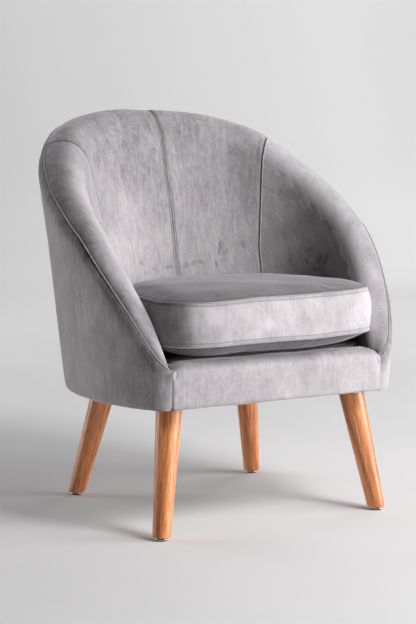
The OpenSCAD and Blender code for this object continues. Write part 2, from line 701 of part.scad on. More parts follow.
// Glides: a nailed metal disc with a dark pad under it
module each_foot() {
  for (s = [-1, 1]) {
    translate([s * front_foot.x, front_foot.y, 0]) children();
    translate([s * rear_foot.x, rear_foot.y, 0]) children();
  }
}
module glide_discs() color("#b8b8ba") placed() each_foot() {
  translate([0, 0, pad_t]) rotate_extrude() difference() {
    union() {
      square([glide_d / 2 - disc_t / 2, disc_t]);
      translate([glide_d / 2 - disc_t / 2, disc_t / 2]) circle(d = disc_t);
      square([glide_d / 4, disc_t + stem_t]);
    }
    translate([-glide_d, -over]) square([glide_d, glide_d]);
  }
  translate([0, 0, pad_t + disc_t]) cylinder(h = stem_t + nail_l, d = nail_d);
}
module glide_pads() color("#2a2a2c") placed() each_foot() cylinder(h = pad_t, d = glide_d - disc_t);

// Outline of the loose cushion: round at the back, boxy with soft corners at the front
cushion_turns = 48;
front_round_share = 0.465;
cushion_a = inside(side_angle, seam_low_z).x - cushion_side_gap;
cushion_back = inside(0, seam_low_z).y + inner_forward - cushion_rear_gap;
cushion_front_b = front_depth + cushion_overhang - inner_forward;
function cushion_edge(k, inset) =
  let (
    ang = 360 * k / cushion_turns,
    rear = cos(ang) >= 0,
    q = rear ? 1 : front_round_share,
    b = rear ? cushion_back : cushion_front_b,
    x = (cushion_a - inset) * rounded(sin(ang), q),
    y = (b - inset) * rounded(cos(ang), q),
    draw = rear ? 0 : front_draw * (1 - pow(x / cushion_a, 2)) * -rounded(cos(ang), q)
  )
  [x, y + draw - inner_forward];
function cushion_ring(inset, share, z) =
  [for (k = [0:cushion_turns - 1]) let (p = cushion_edge(k, inset)) [p.x * share, (p.y + inner_forward) * share - inner_forward, z]];

// Rings of the crowned panels, from the rim to near the middle: the top is domed all over,
// and the bottom turns down at the rim and lies flat on the decking
top_shares = [1, 0.95, 0.86, 0.72, 0.5, 0.25];
bottom_shares = [1, 0.98, 0.945, 0.88, 0.7, 0.35];
top_dome_share = 0.333;
bottom_dome_share = 0.07;
rim_room = welt_r + seat_gap;
function top_rings(down) = [for (s = top_shares)
  cushion_ring(rim_room, s, seam_top_z + crown_top * (1 - pow(s, 1 / top_dome_share)) - down)];
function bottom_rings(up) = [for (s = bottom_shares)
  cushion_ring(rim_room, s, seam_low_z - crown_bottom * (1 - pow(s, 1 / bottom_dome_share)) + up)];

// Solid between stacked rings of equal count, closed by a middle point at each end
module ring_stack(rings, low_mid, high_mid) {
  n = cushion_turns;
  m = len(rings);
  points = concat(flatten(rings), [low_mid, high_mid]);
  faces = concat(
    flatten([for (j = [0:m - 2], k = [0:n - 1])
      let (a = j * n + k, b = j * n + (k + 1) % n)
      [[a, b + n, b], [a, a + n, b + n]]]),
    [for (k = [0:n - 1]) [n * m, k, (k + 1) % n]],
    [for (k = [0:n - 1]) [n * m + 1, (m - 1) * n + (k + 1) % n, (m - 1) * n + k]]
  );
  polyhedron(points, turned_out(faces));
}
function middle(z) = [0, -inner_forward, z];

// Top and bottom panels, the border between them, and the foam that they hold
module cushion_top_panel() color("#9a9a9f") placed() ring_stack(
  concat(reversed(top_rings(cushion_cover_t)), top_rings(0)),
  middle(seam_top_z + crown_top - cushion_cover_t), middle(seam_top_z + crown_top)
);
module cushion_bottom_panel() color("#6d6d72") placed() ring_stack(
  concat(reversed(bottom_rings(0)), bottom_rings(cushion_cover_t)),
  middle(cushion_z), middle(cushion_z + cushion_cover_t)
);
border_steps = 5;
border_low = seam_low_z + rim_room;
border_high = seam_top_z - rim_room;
function border_rings(depth) = [for (k = [0:border_steps])
  cushion_ring(depth - border_bulge * sin(180 * k / border_steps), 1,
    border_low + (border_high - border_low) * k / border_steps)];
module cushion_border() color("#a8a8ad") placed() {
  outer = border_rings(0);
  inner = border_rings(cushion_cover_t);
  n = cushion_turns;
  m = border_steps + 1;
  points = concat(flatten(outer), flatten(inner));
  off = n * m;
  faces = flatten([
    for (j = [0:m - 2], k = [0:n - 1])
      let (a = j * n + k, b = j * n + (k + 1) % n)
      [[a, b + n, b], [a, a + n, b + n], [off + a, off + b, off + b + n], [off + a, off + b + n, off + a + n]],
    for (k = [0:n - 1])
      let (b = (k + 1) % n, t = (m - 1) * n)
      [[k, b, off + b], [k, off + b, off + k],
        [t + k, off + t + b, t + b], [t + k, off + t + k, off + t + b]]
  ]);
  polyhedron(points, turned_out(faces));
}
module cushion_core() color("#e8dfb8") placed() ring_stack(
  concat(
    reversed(bottom_rings(cushion_cover_t)),
    border_rings(cushion_cover_t),
    top_rings(cushion_cover_t)
  ),
  middle(cushion_z + cushion_cover_t), middle(seam_top_z + crown_top - cushion_cover_t)
);
module cushion_welt(z) color("#b0b0b5") placed() tube(cushion_ring(0, 1, z), welt_r, piping_sides, true);
module cushion_welt_top() cushion_welt(seam_top_z);
module cushion_welt_bottom() cushion_welt(seam_low_z);

// Zip across the back of the border, on an arc of the cushion's own rounding
zip_z = (border_low + border_high) / 2;
zip_r = pow(cushion_a, 2) / cushion_back + border_bulge;
zip_centre = [0, cushion_back + border_bulge - inner_forward - zip_r];
tape_gap = 0.4;
tape_t = 0.8;
teeth_t = 1.6;
slider_l = 11;
slider_wall = 1.4;
slider_gap = 0.3;
module zip_arc(r, t, h, spread) translate([zip_centre.x, zip_centre.y, zip_z - h / 2])
  rotate([0, 0, 90 - spread]) rotate_extrude(angle = 2 * spread, $fn = 96) translate([r, 0]) square([t, h]);
tape_end_angle = 3;
tape_spread = zip_half_angle + tape_end_angle;
module zip_tape() color("#3d3d42") placed() zip_arc(zip_r + tape_gap, tape_t, zip_tape_h, tape_spread);
module zip_teeth() color("#55555a") placed() zip_arc(zip_r + tape_gap + tape_t, teeth_t, zip_teeth_h, tape_spread);
module at_slider() placed() translate([zip_centre.x, zip_centre.y, zip_z]) rotate([0, 0, zip_half_angle])
  translate([0, zip_r + tape_gap + tape_t, 0]) children();
module zip_slider() color("#8a8d91") at_slider() difference() {
  depth = teeth_t + slider_gap + slider_wall;
  height = zip_teeth_h + 2 * slider_gap + 2 * slider_wall;
  translate([-slider_l / 2, slider_gap, -height / 2]) cube([slider_l, depth - slider_gap, height]);
  translate([-slider_l / 2 - over, -over, -zip_teeth_h / 2 - slider_gap])
    cube([slider_l + 2 * over, teeth_t + slider_gap + over, zip_teeth_h + 2 * slider_gap]);
}
pull_t = 1.2;
pull_w = 5;
pull_l = 24;
module zip_pull() color("#8a8d91") at_slider()
  translate([-pull_w / 2, teeth_t + slider_gap + slider_wall, -pull_l + slider_wall]) difference() {
    cube([pull_w, pull_t, pull_l]);
    translate([pull_w / 2, -over, pull_w / 2]) rotate([-90, 0, 0]) cylinder(h = pull_t + 2 * over, d = pull_w / 2);
  }

base_ring();
seat_ring();
front_rail();
corner_blocks();
side_blocks();
back_ribs();
arm_ribs_left();
arm_ribs_right();
top_rail();
arm_rail_left();
arm_rail_right();
back_board();
arm_board_left();
arm_board_right();
webbing_lengthwise();
webbing_crosswise();
deck_pad();
deck_cloth();
back_foam();
arm_foam_left();
arm_foam_right();
front_rail_foam();
inside_back_left();
inside_back_right();
inside_arm_left();
inside_arm_right();
outside_back();
outside_arm_left();
outside_arm_right();
front_rail_cover();
crest_piping();
dust_cover();
leg_front_left();
leg_front_right();
leg_rear_left();
leg_rear_right();
leg_bolts();
tee_nuts();
glide_discs();
glide_pads();
cushion_core();
cushion_top_panel();
cushion_bottom_panel();
cushion_border();
cushion_welt_top();
cushion_welt_bottom();
zip_tape();
zip_teeth();
zip_slider();
zip_pull();
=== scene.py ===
"""Tub chair in grey velvet: one round upholstered wall, a loose boxed cushion and four splayed wooden legs.

The sections follow the chair as it is put together, from the legs and the wooden frame to the covers and the
cushion, and end with the studio. Lengths are in metres, +Z is up, and the chair faces -Y.
"""

import math

import bpy
import numpy as np
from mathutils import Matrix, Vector


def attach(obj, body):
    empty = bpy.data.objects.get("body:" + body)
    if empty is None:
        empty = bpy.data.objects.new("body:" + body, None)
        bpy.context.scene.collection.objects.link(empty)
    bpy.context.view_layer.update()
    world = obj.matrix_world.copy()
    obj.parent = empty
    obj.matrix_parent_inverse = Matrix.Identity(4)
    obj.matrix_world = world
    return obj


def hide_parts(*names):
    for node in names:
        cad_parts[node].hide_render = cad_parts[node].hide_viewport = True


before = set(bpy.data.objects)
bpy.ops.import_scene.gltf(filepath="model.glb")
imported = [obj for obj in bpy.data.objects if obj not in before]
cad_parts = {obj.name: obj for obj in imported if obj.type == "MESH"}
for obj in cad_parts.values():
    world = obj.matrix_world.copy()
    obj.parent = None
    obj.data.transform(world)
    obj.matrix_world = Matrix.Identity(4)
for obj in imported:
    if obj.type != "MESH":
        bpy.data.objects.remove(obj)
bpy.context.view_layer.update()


# Legs: four turned hardwood legs, stained orange brown and lacquered. Each splays outwards, is screwed up
# into the base with one bolt, and is cut level at its top and its foot.
LEG_TOP_RADIUS, LEG_FOOT_RADIUS = 0.02425, 0.0165
LEG_TOP_Z, LEG_FOOT_Z, LEG_BODY_Z = 0.2378, 0.0062, 0.236
FOOT_BEVEL, FOOT_BEVEL_HEIGHT = 0.0012, 0.002
LEG_SIDES, LEG_STEPS = 56, 30
FRONT_FOOT, REAR_FOOT = (0.23715, -0.25859), (0.20816, 0.15072)
FRONT_SPLAY, REAR_SPLAY = 9.3, 11.3


def new_material(name, roughness):
    material = bpy.data.materials.new(name)
    material.use_nodes = True
    shader = material.node_tree.nodes["Principled BSDF"]
    shader.inputs["Roughness"].default_value = roughness
    return material, material.node_tree, shader


def feed(tree, node, values):
    """Give a node's inputs their values, or join them to the sockets that feed them."""
    for key, value in values.items():
        socket = node.inputs[key]
        if isinstance(value, bpy.types.NodeSocket):
            tree.links.new(value, socket)
        else:
            socket.default_value = (*value, 1) if socket.type == "RGBA" and len(value) == 3 else value


def add_node(tree, kind, values=None, **settings):
    node = tree.nodes.new(kind)
    for key, value in settings.items():
        setattr(node, key, value)
    feed(tree, node, values or {})
    return node


def math_node(tree, operation, first, second):
    return add_node(tree, "ShaderNodeMath", {0: first, 1: second}, operation=operation).outputs[0]


def scaled_vector(tree, vector, scale):
    return add_node(tree, "ShaderNodeVectorMath", {0: vector, 1: scale}, operation="MULTIPLY").outputs[0]


def noise_node(tree, vector, scale, detail, rough, distort=0.0):
    return add_node(tree, "ShaderNodeTexNoise", {"Vector": vector, "Scale": scale, "Detail": detail, "Roughness": rough,
                                                 "Distortion": distort}).outputs["Fac"]


def wave_node(tree, vector, scale, direction, values=None):
    return add_node(tree, "ShaderNodeTexWave", {"Vector": vector, "Scale": scale, **(values or {})}, wave_type="BANDS",
                    bands_direction=direction).outputs["Fac"]


def ramp_node(tree, factor, stops):
    """Colours, or greys where a stop is one number, over a factor."""
    node = add_node(tree, "ShaderNodeValToRGB", {0: factor})
    ramp = node.color_ramp
    while len(ramp.elements) < len(stops):
        ramp.elements.new(0.5)
    for element, (place, colour) in zip(ramp.elements, stops):
        element.position = place
        element.color = (*(colour if isinstance(colour, tuple) else (colour,) * 3), 1)
    return node.outputs[0]


def mix_colours(tree, factor, first, second, blend="MIX"):
    return add_node(tree, "ShaderNodeMix", {0: factor, 6: first, 7: second}, data_type="RGBA",
                    blend_type=blend).outputs[2]


def group_tree(name, inputs, outputs):
    """An empty shader group, whose inputs are numbers, or vectors where no value is given."""
    tree = bpy.data.node_groups.new(name, "ShaderNodeTree")
    for label, value in inputs.items():
        kind = "NodeSocketVector" if value is None else "NodeSocketFloat"
        socket = tree.interface.new_socket(name=label, in_out="INPUT", socket_type=kind)
        if value is not None:
            socket.default_value = value
    for label in outputs:
        tree.interface.new_socket(name=label, in_out="OUTPUT", socket_type="NodeSocketFloat")
    return tree, tree.nodes.new("NodeGroupInput").outputs, tree.nodes.new("NodeGroupOutput")


def place_group(tree, group, values):
    return add_node(tree, "ShaderNodeGroup", values, node_tree=group).outputs


def bump_into(tree, shader, height, strength, distance):
    bump = add_node(tree, "ShaderNodeBump", {"Strength": strength, "Distance": distance, "Height": height})
    feed(tree, shader, {"Normal": bump.outputs[0]})


def mark_on(tree, name, output="Fac"):
    return add_node(tree, "ShaderNodeAttribute", attribute_name=name).outputs[output]


def make_grain_group():
    tree, given, end = group_tree("wood_grain", {"Vector": None, "Ring Scale": 130.0, "Along": 0.07, "Wander": 0.9},
                                  ["Rings", "Pores", "Cloud", "Fibres"])
    stretch = add_node(tree, "ShaderNodeCombineXYZ", {0: 1.0, 1: 1.0, 2: given["Along"]})
    drawn = scaled_vector(tree, given["Vector"], stretch.outputs[0])
    bend = math_node(tree, "MULTIPLY", given["Wander"], 9.0)
    feed(tree, end, {
        "Rings": wave_node(tree, drawn, given["Ring Scale"], "X", {"Detail": 3.0, "Detail Scale": 1.6,
                                                                   "Detail Roughness": 0.6, "Distortion": bend}),
        "Pores": noise_node(tree, scaled_vector(tree, drawn, (1.0, 1.0, 0.35)), 900.0, 2.0, 0.5),
        "Cloud": noise_node(tree, drawn, 70.0, 4.0, 0.55),
        "Fibres": noise_node(tree, drawn, 330.0, 3.0, 0.6, 0.3)})
    return tree


WOOD_GRAIN = make_grain_group()


def leg_wood():
    material, tree, shader = new_material("stained_leg_wood", 0.38)
    grain = place_group(tree, WOOD_GRAIN, {"Vector": mark_on(tree, "grain_place", "Vector"), "Ring Scale": 15.0,
                                           "Along": 0.05, "Wander": 1.3})
    rings = ramp_node(tree, grain["Rings"], [(0.0, (0.65, 0.225, 0.076)), (0.4, (0.77, 0.280, 0.097)),
                                             (0.8, (0.86, 0.330, 0.120)), (1.0, (0.80, 0.298, 0.106))])
    cloud = ramp_node(tree, grain["Cloud"], [(0.34, (0.58, 0.50, 0.46)), (0.47, (0.92, 0.90, 0.88)),
                                             (0.62, (1.14, 1.20, 1.30))])
    fibres = ramp_node(tree, grain["Fibres"], [(0.34, (0.62, 0.54, 0.50)), (0.50, 1.0), (0.68, (1.10, 1.14, 1.20))])
    pores = ramp_node(tree, grain["Pores"], [(0.37, (0.50, 0.40, 0.34)), (0.45, 1.0)])
    stained = mix_colours(tree, 1.0, rings, cloud, "MULTIPLY")
    stained = mix_colours(tree, 0.85, stained, fibres, "MULTIPLY")
    feed(tree, shader, {"Base Color": mix_colours(tree, 0.7, stained, pores, "MULTIPLY"),
                        "Roughness": ramp_node(tree, grain["Pores"], [(0.3, 0.52), (0.6, 0.34)]),
                        "Coat Weight": 0.22, "Coat Roughness": 0.28})
    bump_into(tree, shader, grain["Pores"], 0.18, 0.0004)
    return material


def new_piece(name, points, faces, material):
    mesh = bpy.data.meshes.new(name)
    mesh.from_pydata([tuple(p) for p in points], [], [tuple(f) for f in faces])
    mesh.update()
    mesh.shade_smooth()
    piece = bpy.data.objects.new(name, mesh)
    bpy.context.scene.collection.objects.link(piece)
    if material is not None:
        mesh.materials.append(material)
    return piece


def set_floats(piece, name, values):
    values = np.asarray(values, np.float32)
    attribute = piece.data.attributes.new(name, "FLOAT_VECTOR" if values.ndim == 2 else "FLOAT", "POINT")
    attribute.data.foreach_set("vector" if values.ndim == 2 else "value", values.ravel())


def rings_of_faces(rings, sides, first=0):
    faces = []
    for k in range(rings - 1):
        for s in range(sides):
            a, b = first + k * sides + s, first + k * sides + (s + 1) % sides
            faces.append((a, b, b + sides, a + sides))
    return faces


def capped_faces(rings, sides, first=0):
    """Faces round a stack of rings, closed by a fan to each of the two middle points that follow the rings."""
    last = first + (rings - 1) * sides
    faces = rings_of_faces(rings, sides, first)
    for s in range(sides):
        t = (s + 1) % sides
        faces += [(first + t, first + s, last + sides), (last + s, last + t, last + sides + 1)]
    return faces


def sharpen(piece, degrees=40):
    piece.data.set_sharp_from_angle(angle=math.radians(degrees))


def settle(piece, body, slot, *nodes):
    """A finished piece rides on its body and stands for its solids."""
    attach(piece, body)
    if nodes:
        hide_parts(*nodes)
    return piece


def turned_leg(name, foot, splay, offset, material):
    heading = math.atan2(-math.copysign(1, foot[1]), -math.copysign(1, foot[0]))
    foot, tilt = np.array([*foot, 0.0]), math.atan(math.tan(math.radians(splay)) * math.sqrt(2))
    axis = np.array([math.cos(heading) * math.sin(tilt), math.sin(heading) * math.sin(tilt), math.cos(tilt)])
    across = np.array([-math.sin(heading), math.cos(heading), 0.0])
    third = np.cross(axis, across)
    grow = (LEG_TOP_RADIUS - LEG_FOOT_RADIUS) * math.cos(tilt) / LEG_BODY_Z
    levels = [(LEG_FOOT_Z, FOOT_BEVEL), (LEG_FOOT_Z + FOOT_BEVEL_HEIGHT * 0.5, FOOT_BEVEL * 0.35)]
    levels += [(LEG_FOOT_Z + FOOT_BEVEL_HEIGHT + (LEG_TOP_Z - LEG_FOOT_Z - FOOT_BEVEL_HEIGHT) * k / LEG_STEPS, 0.0)
               for k in range(LEG_STEPS + 1)]
    points, grain = [], []
    for z, shrink in levels:
        for s in range(LEG_SIDES):
            turn = 2 * math.pi * s / LEG_SIDES
            around = math.cos(turn) * across + math.sin(turn) * third
            radius = LEG_FOOT_RADIUS - shrink
            along = (z - radius * around[2]) / (axis[2] + grow * around[2])
            radius += grow * along
            points.append(foot + along * axis + radius * around)
            grain.append((radius * math.cos(turn) + offset[0], radius * math.sin(turn) + offset[1], along + offset[2]))
    for z in (levels[0][0], levels[-1][0]):
        points.append(foot + z / axis[2] * axis)
        grain.append((offset[0], offset[1], z / axis[2] + offset[2]))
    leg = new_piece(name, points, capped_faces(len(levels), LEG_SIDES), material)
    set_floats(leg, "grain_place", grain)
    sharpen(leg)
    settle(leg, "chair", "leg_wood", name.replace("turned_", ""))


stained_wood = leg_wood()
for place, side, foot, splay, offset in (
        ("front_left", -1, FRONT_FOOT, FRONT_SPLAY, (0.11, 0.02, 0.3)),
        ("front_right", 1, FRONT_FOOT, FRONT_SPLAY, (0.43, 0.21, 1.7)),
        ("rear_left", -1, REAR_FOOT, REAR_SPLAY, (0.76, 0.37, 3.1)),
        ("rear_right", 1, REAR_FOOT, REAR_SPLAY, (0.29, 0.58, 4.9))):
    turned_leg(f"turned_leg_{place}", (side * foot[0], foot[1]), splay, offset, stained_wood)


# Glides: under each leg a nickel-plated steel disc with a rolled edge, nailed into the end grain, and
# a dark plastic pad pressed under it that stands on the floor.
GLIDE_RADIUS, PAD_RADIUS = 0.01175, 0.01045
PAD_HEIGHT, PAD_ROUND, DISC_HEIGHT, STEM_HEIGHT = 0.002, 0.0006, 0.0026, 0.0016


def make_wear_group():
    tree, given, end = group_tree("surface_wear", {"Vector": None, "Scale": 60.0}, ["Smudge", "Speck"])
    finer = math_node(tree, "MULTIPLY", given["Scale"], 14.0)
    feed(tree, end, {"Smudge": noise_node(tree, given["Vector"], given["Scale"], 5.0, 0.6),
                     "Speck": noise_node(tree, given["Vector"], finer, 2.0, 0.5)})
    return tree


SURFACE_WEAR = make_wear_group()


def worn(tree, scale):
    """Smudges and specks of a finish, and the piece's own coordinates that they lie on."""
    place = tree.nodes.new("ShaderNodeTexCoord").outputs["Object"]
    return place_group(tree, SURFACE_WEAR, {"Vector": place, "Scale": scale}), place


def plain_surface(name, dark, light, roughness, scale, metallic=0.0, bump=0.1):
    """A finish with smudges from dark to light, fine specks in its bump, and its roughness about one value."""
    material, tree, shader = new_material(name, roughness)
    wear, _ = worn(tree, scale)
    low, high = max(0.02, roughness - 0.08), min(1.0, roughness + 0.08)
    feed(tree, shader, {"Base Color": ramp_node(tree, wear["Smudge"], [(0.35, dark), (0.65, light)]),
                        "Roughness": ramp_node(tree, wear["Speck"], [(0.3, low), (0.7, high)]), "Metallic": metallic})
    bump_into(tree, shader, wear["Speck"], bump, 0.0003)
    return material


def turned_rings(name, profile, places, material, sides=40):
    points, faces = [], []
    for x, y in places:
        faces += capped_faces(len(profile), sides, len(points))
        for radius, z in profile:
            for s in range(sides):
                turn = 2 * math.pi * s / sides
                points.append((x + radius * math.cos(turn), y + radius * math.sin(turn), z))
        points += [(x, y, profile[0][1]), (x, y, profile[-1][1])]
    piece = new_piece(name, points, faces, material)
    sharpen(piece)
    return piece


FEET = [(-FRONT_FOOT[0], FRONT_FOOT[1]), FRONT_FOOT, (-REAR_FOOT[0], REAR_FOOT[1]), REAR_FOOT]
RIM = DISC_HEIGHT / 2
disc_profile = [(GLIDE_RADIUS - RIM, PAD_HEIGHT)]
disc_profile += [(GLIDE_RADIUS - RIM + RIM * math.sin(math.pi * k / 8),
                  PAD_HEIGHT + RIM - RIM * math.cos(math.pi * k / 8))
                 for k in range(1, 9)]
disc_profile += [(GLIDE_RADIUS / 2, PAD_HEIGHT + DISC_HEIGHT + rise) for rise in (0, STEM_HEIGHT)]
pad_profile = [(PAD_RADIUS - PAD_ROUND, 0.0), (PAD_RADIUS, PAD_ROUND), (PAD_RADIUS, PAD_HEIGHT)]
nickel = plain_surface("nickel_steel", (0.44, 0.44, 0.46), (0.60, 0.60, 0.62), 0.30, 200.0, 1.0, 0.05)
dark_plastic = plain_surface("dark_glide_plastic", (0.015, 0.015, 0.016), (0.03, 0.03, 0.032), 0.6, 120.0)
settle(turned_rings("nailed_glide_discs", disc_profile, FEET, nickel), "chair", "nickel_steel", "glide_discs")
settle(turned_rings("glide_floor_pads", pad_profile, FEET, dark_plastic), "chair", "glide_pad", "glide_pads")


# Leg bolts and tee nuts: zinc-plated steel, hidden in the base. A tee nut is driven into the base ring
# over each leg, and the leg's bolt screws up into it.
zinc = plain_surface("zinc_steel", (0.50, 0.51, 0.50), (0.68, 0.69, 0.70), 0.36, 140.0, 1.0, 0.06)


def dress(names, material):
    for name in names:
        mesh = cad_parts[name].data
        mesh.materials.clear()
        mesh.materials.append(material)


dress(["leg_bolts", "tee_nuts"], zinc)


# Base and ribs: two birch plywood rings with softwood blocks and a front rail glued between them, and
# plywood ribs standing on the upper ring. The plies show along every cut edge.
PLY = 0.003


def separate(tree, vector):
    return add_node(tree, "ShaderNodeSeparateXYZ", {0: vector}).outputs


def plywood():
    material, tree, shader = new_material("birch_plywood", 0.62)
    wear, place = worn(tree, 30.0)
    plies = math_node(tree, "FRACT", math_node(tree, "MULTIPLY", separate(tree, place)[2], 1 / PLY), 0.0)
    edge = ramp_node(tree, plies, [(0.0, (0.62, 0.46, 0.27)), (0.48, (0.66, 0.50, 0.30)), (0.52, (0.42, 0.28, 0.15)),
                                   (1.0, (0.45, 0.31, 0.17))])
    veneer = ramp_node(tree, wear["Smudge"], [(0.35, (0.60, 0.45, 0.27)), (0.7, (0.72, 0.57, 0.36))])
    upright = separate(tree, tree.nodes.new("ShaderNodeNewGeometry").outputs["Normal"])[2]
    level = math_node(tree, "GREATER_THAN", math_node(tree, "ABSOLUTE", upright, 0.0), 0.7)
    feed(tree, shader, {"Base Color": mix_colours(tree, level, edge, veneer)})
    bump_into(tree, shader, wear["Speck"], 0.2, 0.0004)
    return material


def softwood():
    material, tree, shader = new_material("planed_softwood", 0.58)
    place = tree.nodes.new("ShaderNodeTexCoord").outputs["Object"]
    turned = add_node(tree, "ShaderNodeMapping", {"Vector": place, "Rotation": (math.pi / 2, 0.0, 0.3)}).outputs[0]
    grain = place_group(tree, WOOD_GRAIN, {"Vector": turned, "Ring Scale": 34.0, "Along": 0.06, "Wander": 0.5})
    feed(tree, shader, {"Base Color": ramp_node(tree, grain["Rings"], [
        (0.0, (0.52, 0.33, 0.16)), (0.6, (0.70, 0.50, 0.28)), (1.0, (0.74, 0.56, 0.33))])})
    bump_into(tree, shader, grain["Pores"], 0.25, 0.0004)
    return material


dress(["base_ring", "seat_ring", "back_ribs", "arm_ribs_left", "arm_ribs_right"], plywood())
dress(["front_rail", "corner_blocks", "side_blocks", "top_rail", "arm_rail_left", "arm_rail_right"], softwood())
hardboard = plain_surface("pressed_hardboard", (0.20, 0.115, 0.055), (0.29, 0.175, 0.09), 0.66, 90.0, 0.0, 0.3)
dress(["back_board", "arm_board_left", "arm_board_right"], hardboard)


# Webbing: black elastic straps woven over and under, drawn tight over the seat opening and stapled on
# the upper ring. Three run from front to back and three from side to side.
STRAP_WIDTH, STRAP_THICKNESS = 0.05, 0.0012
STRAP_LOW, STRAP_HIGH = 0.2982, 0.29975


def woven_cloth(name, roughness, bands, dark, light, strength, distance):
    """Cloth whose threads cross: each band of threads is (scale, direction) on the piece's own flat size."""
    material, tree, shader = new_material(name, roughness)
    place = add_node(tree, "ShaderNodeUVMap", uv_map="cloth").outputs[0]
    weave, *others = [wave_node(tree, place, scale, direction) for scale, direction in bands]
    for band in others:
        weave = math_node(tree, "MULTIPLY", weave, band)
    feed(tree, shader, {"Base Color": ramp_node(tree, weave, [(0.1, dark), (0.8, light)])})
    bump_into(tree, shader, weave, strength, distance)
    return material


def normals_of(grid):
    along = np.gradient(grid, axis=0)
    up = np.gradient(grid, axis=1)
    out = np.cross(up, along)
    length = np.linalg.norm(out, axis=2, keepdims=True)
    return out / np.maximum(length, 1e-9)


def run_lengths(grid, axis):
    step = np.linalg.norm(np.diff(grid, axis=axis), axis=2)
    pad = [(0, 0), (0, 0)]
    pad[axis] = (1, 0)
    return np.pad(np.cumsum(step, axis=axis), pad)


def shell_faces(n, m, first=0):
    """Faces of a closed thin shell: a grid of n by m points, the same grid under it, and the rim."""
    top = first + np.arange(n * m).reshape(n, m)
    low = top + n * m
    faces = [np.stack([top[:-1, :-1], top[:-1, 1:], top[1:, 1:], top[1:, :-1]], -1).reshape(-1, 4),
             np.stack([low[:-1, :-1], low[1:, :-1], low[1:, 1:], low[:-1, 1:]], -1).reshape(-1, 4)]
    for edge, back, flip in ((top[0], low[0], False), (top[-1], low[-1], True), (top[:, 0], low[:, 0], True),
                             (top[:, -1], low[:, -1], False)):
        quads = np.stack([edge[:-1], back[:-1], back[1:], edge[1:]], -1)
        faces.append(quads[:, ::-1] if flip else quads)
    return np.concatenate(faces)


def cloth_shell(name, grids, thickness, material, near=None, lean=None):
    """A closed thin shell for each grid of skin points, with its flat size, its nap, its painted shade near each seam
    and its painted light and shade.
    """
    points, faces, flats, naps_at = [], [], [], []
    for skin in grids:
        n, m = skin.shape[:2]
        faces.append(shell_faces(n, m, sum(len(p) for p in points)))
        points += [skin.reshape(-1, 3), (skin - normals_of(skin) * thickness).reshape(-1, 3)]
        flat = np.stack([run_lengths(skin, 0), run_lengths(skin, 1)], axis=2)
        columns = np.broadcast_to(flat[:, :, 0].mean(1)[:, None], (n, m))
        naps_at += [np.stack([columns, flat[..., 1]], axis=2).reshape(-1, 2)] * 2
        flats += [flat.reshape(-1, 2)] * 2
    piece = new_piece(name, np.concatenate(points), np.concatenate(faces).tolist(), material)
    layer = piece.data.uv_layers.new(name="cloth")
    corners = np.zeros(len(piece.data.loops), np.int32)
    piece.data.loops.foreach_get("vertex_index", corners)
    layer.data.foreach_set("uv", np.concatenate(flats)[corners].astype(np.float32).ravel())
    combed = np.concatenate(naps_at)
    for label, marks in (("painted_seam_and_crease_shade", near), ("painted_light_and_shade", lean)):
        set_floats(piece, label, np.zeros(len(combed)) if marks is None else np.tile(marks.reshape(-1), 2))
    offset = sum(ord(letter) for letter in name) * 0.137
    set_floats(piece, "nap_place", np.column_stack([combed, np.full(len(combed), offset)]))
    return piece


def strap_grid(start, end, crossings, first_over, across):
    """A strap from start to end along one axis, at across on the other, raised where it passes over."""
    steps = np.linspace(start, end, 120)
    rise = np.zeros_like(steps)
    for k, crossing in enumerate(crossings):
        if (k + first_over) % 2 == 0:
            near = np.clip((STRAP_WIDTH / 2 + 0.008 - np.abs(steps - crossing)) / 0.0075, 0, 1)
            rise = np.maximum(rise, near * near * (3 - 2 * near))
    height = STRAP_LOW + STRAP_THICKNESS + (STRAP_HIGH - STRAP_LOW) * rise
    widths = across + np.linspace(-0.5, 0.5, 9) * STRAP_WIDTH
    return steps, widths, height


def strap(lines_across, reach, height, swapped):
    """The grid of a strap, along the seat or, swapped, across it."""
    grid = np.zeros((len(reach), len(lines_across), 3))
    grid[..., 1 - swapped], grid[..., swapped] = reach[:, None], lines_across[None, :]
    grid[..., 2] = height[:, None]
    return grid[::-1]


CROSS_YS, LENGTH_XS = [-0.18944, -0.11144, -0.03344], [-0.096, 0.0, 0.096]
STRAP_FRONT, STRAP_BACK, MIDDLE_STRAP_BACK = -0.2653, 0.0255, 0.0395
STRAP_REACH, REAR_STRAP_REACH = 0.2172, 0.2135
lengthwise, crosswise = [], []
for k, x in enumerate(LENGTH_XS):
    ys, xs, height = strap_grid(STRAP_FRONT, MIDDLE_STRAP_BACK if x == 0 else STRAP_BACK, CROSS_YS, k, x)
    lengthwise.append(strap(xs, ys, height, 0))
for k, y in enumerate(CROSS_YS):
    reach = STRAP_REACH if k < 2 else REAR_STRAP_REACH
    xs, ys, height = strap_grid(-reach, reach, LENGTH_XS, k + 1, y)
    crosswise.append(strap(ys, xs, height, 1))
webbing = woven_cloth("elastic_webbing", 0.8, [(130.0, "X"), (210.0, "Y")], (0.010, 0.010, 0.011),
                      (0.035, 0.035, 0.038), 0.5, 0.0004)
for way, grids, length in (("lengthwise", lengthwise, 0.31), ("crosswise", crosswise, 0.435)):
    straps = cloth_shell(f"straps_{way}", grids, STRAP_THICKNESS, webbing)
    settle(straps, "chair", "webbing", f"webbing_{way}")


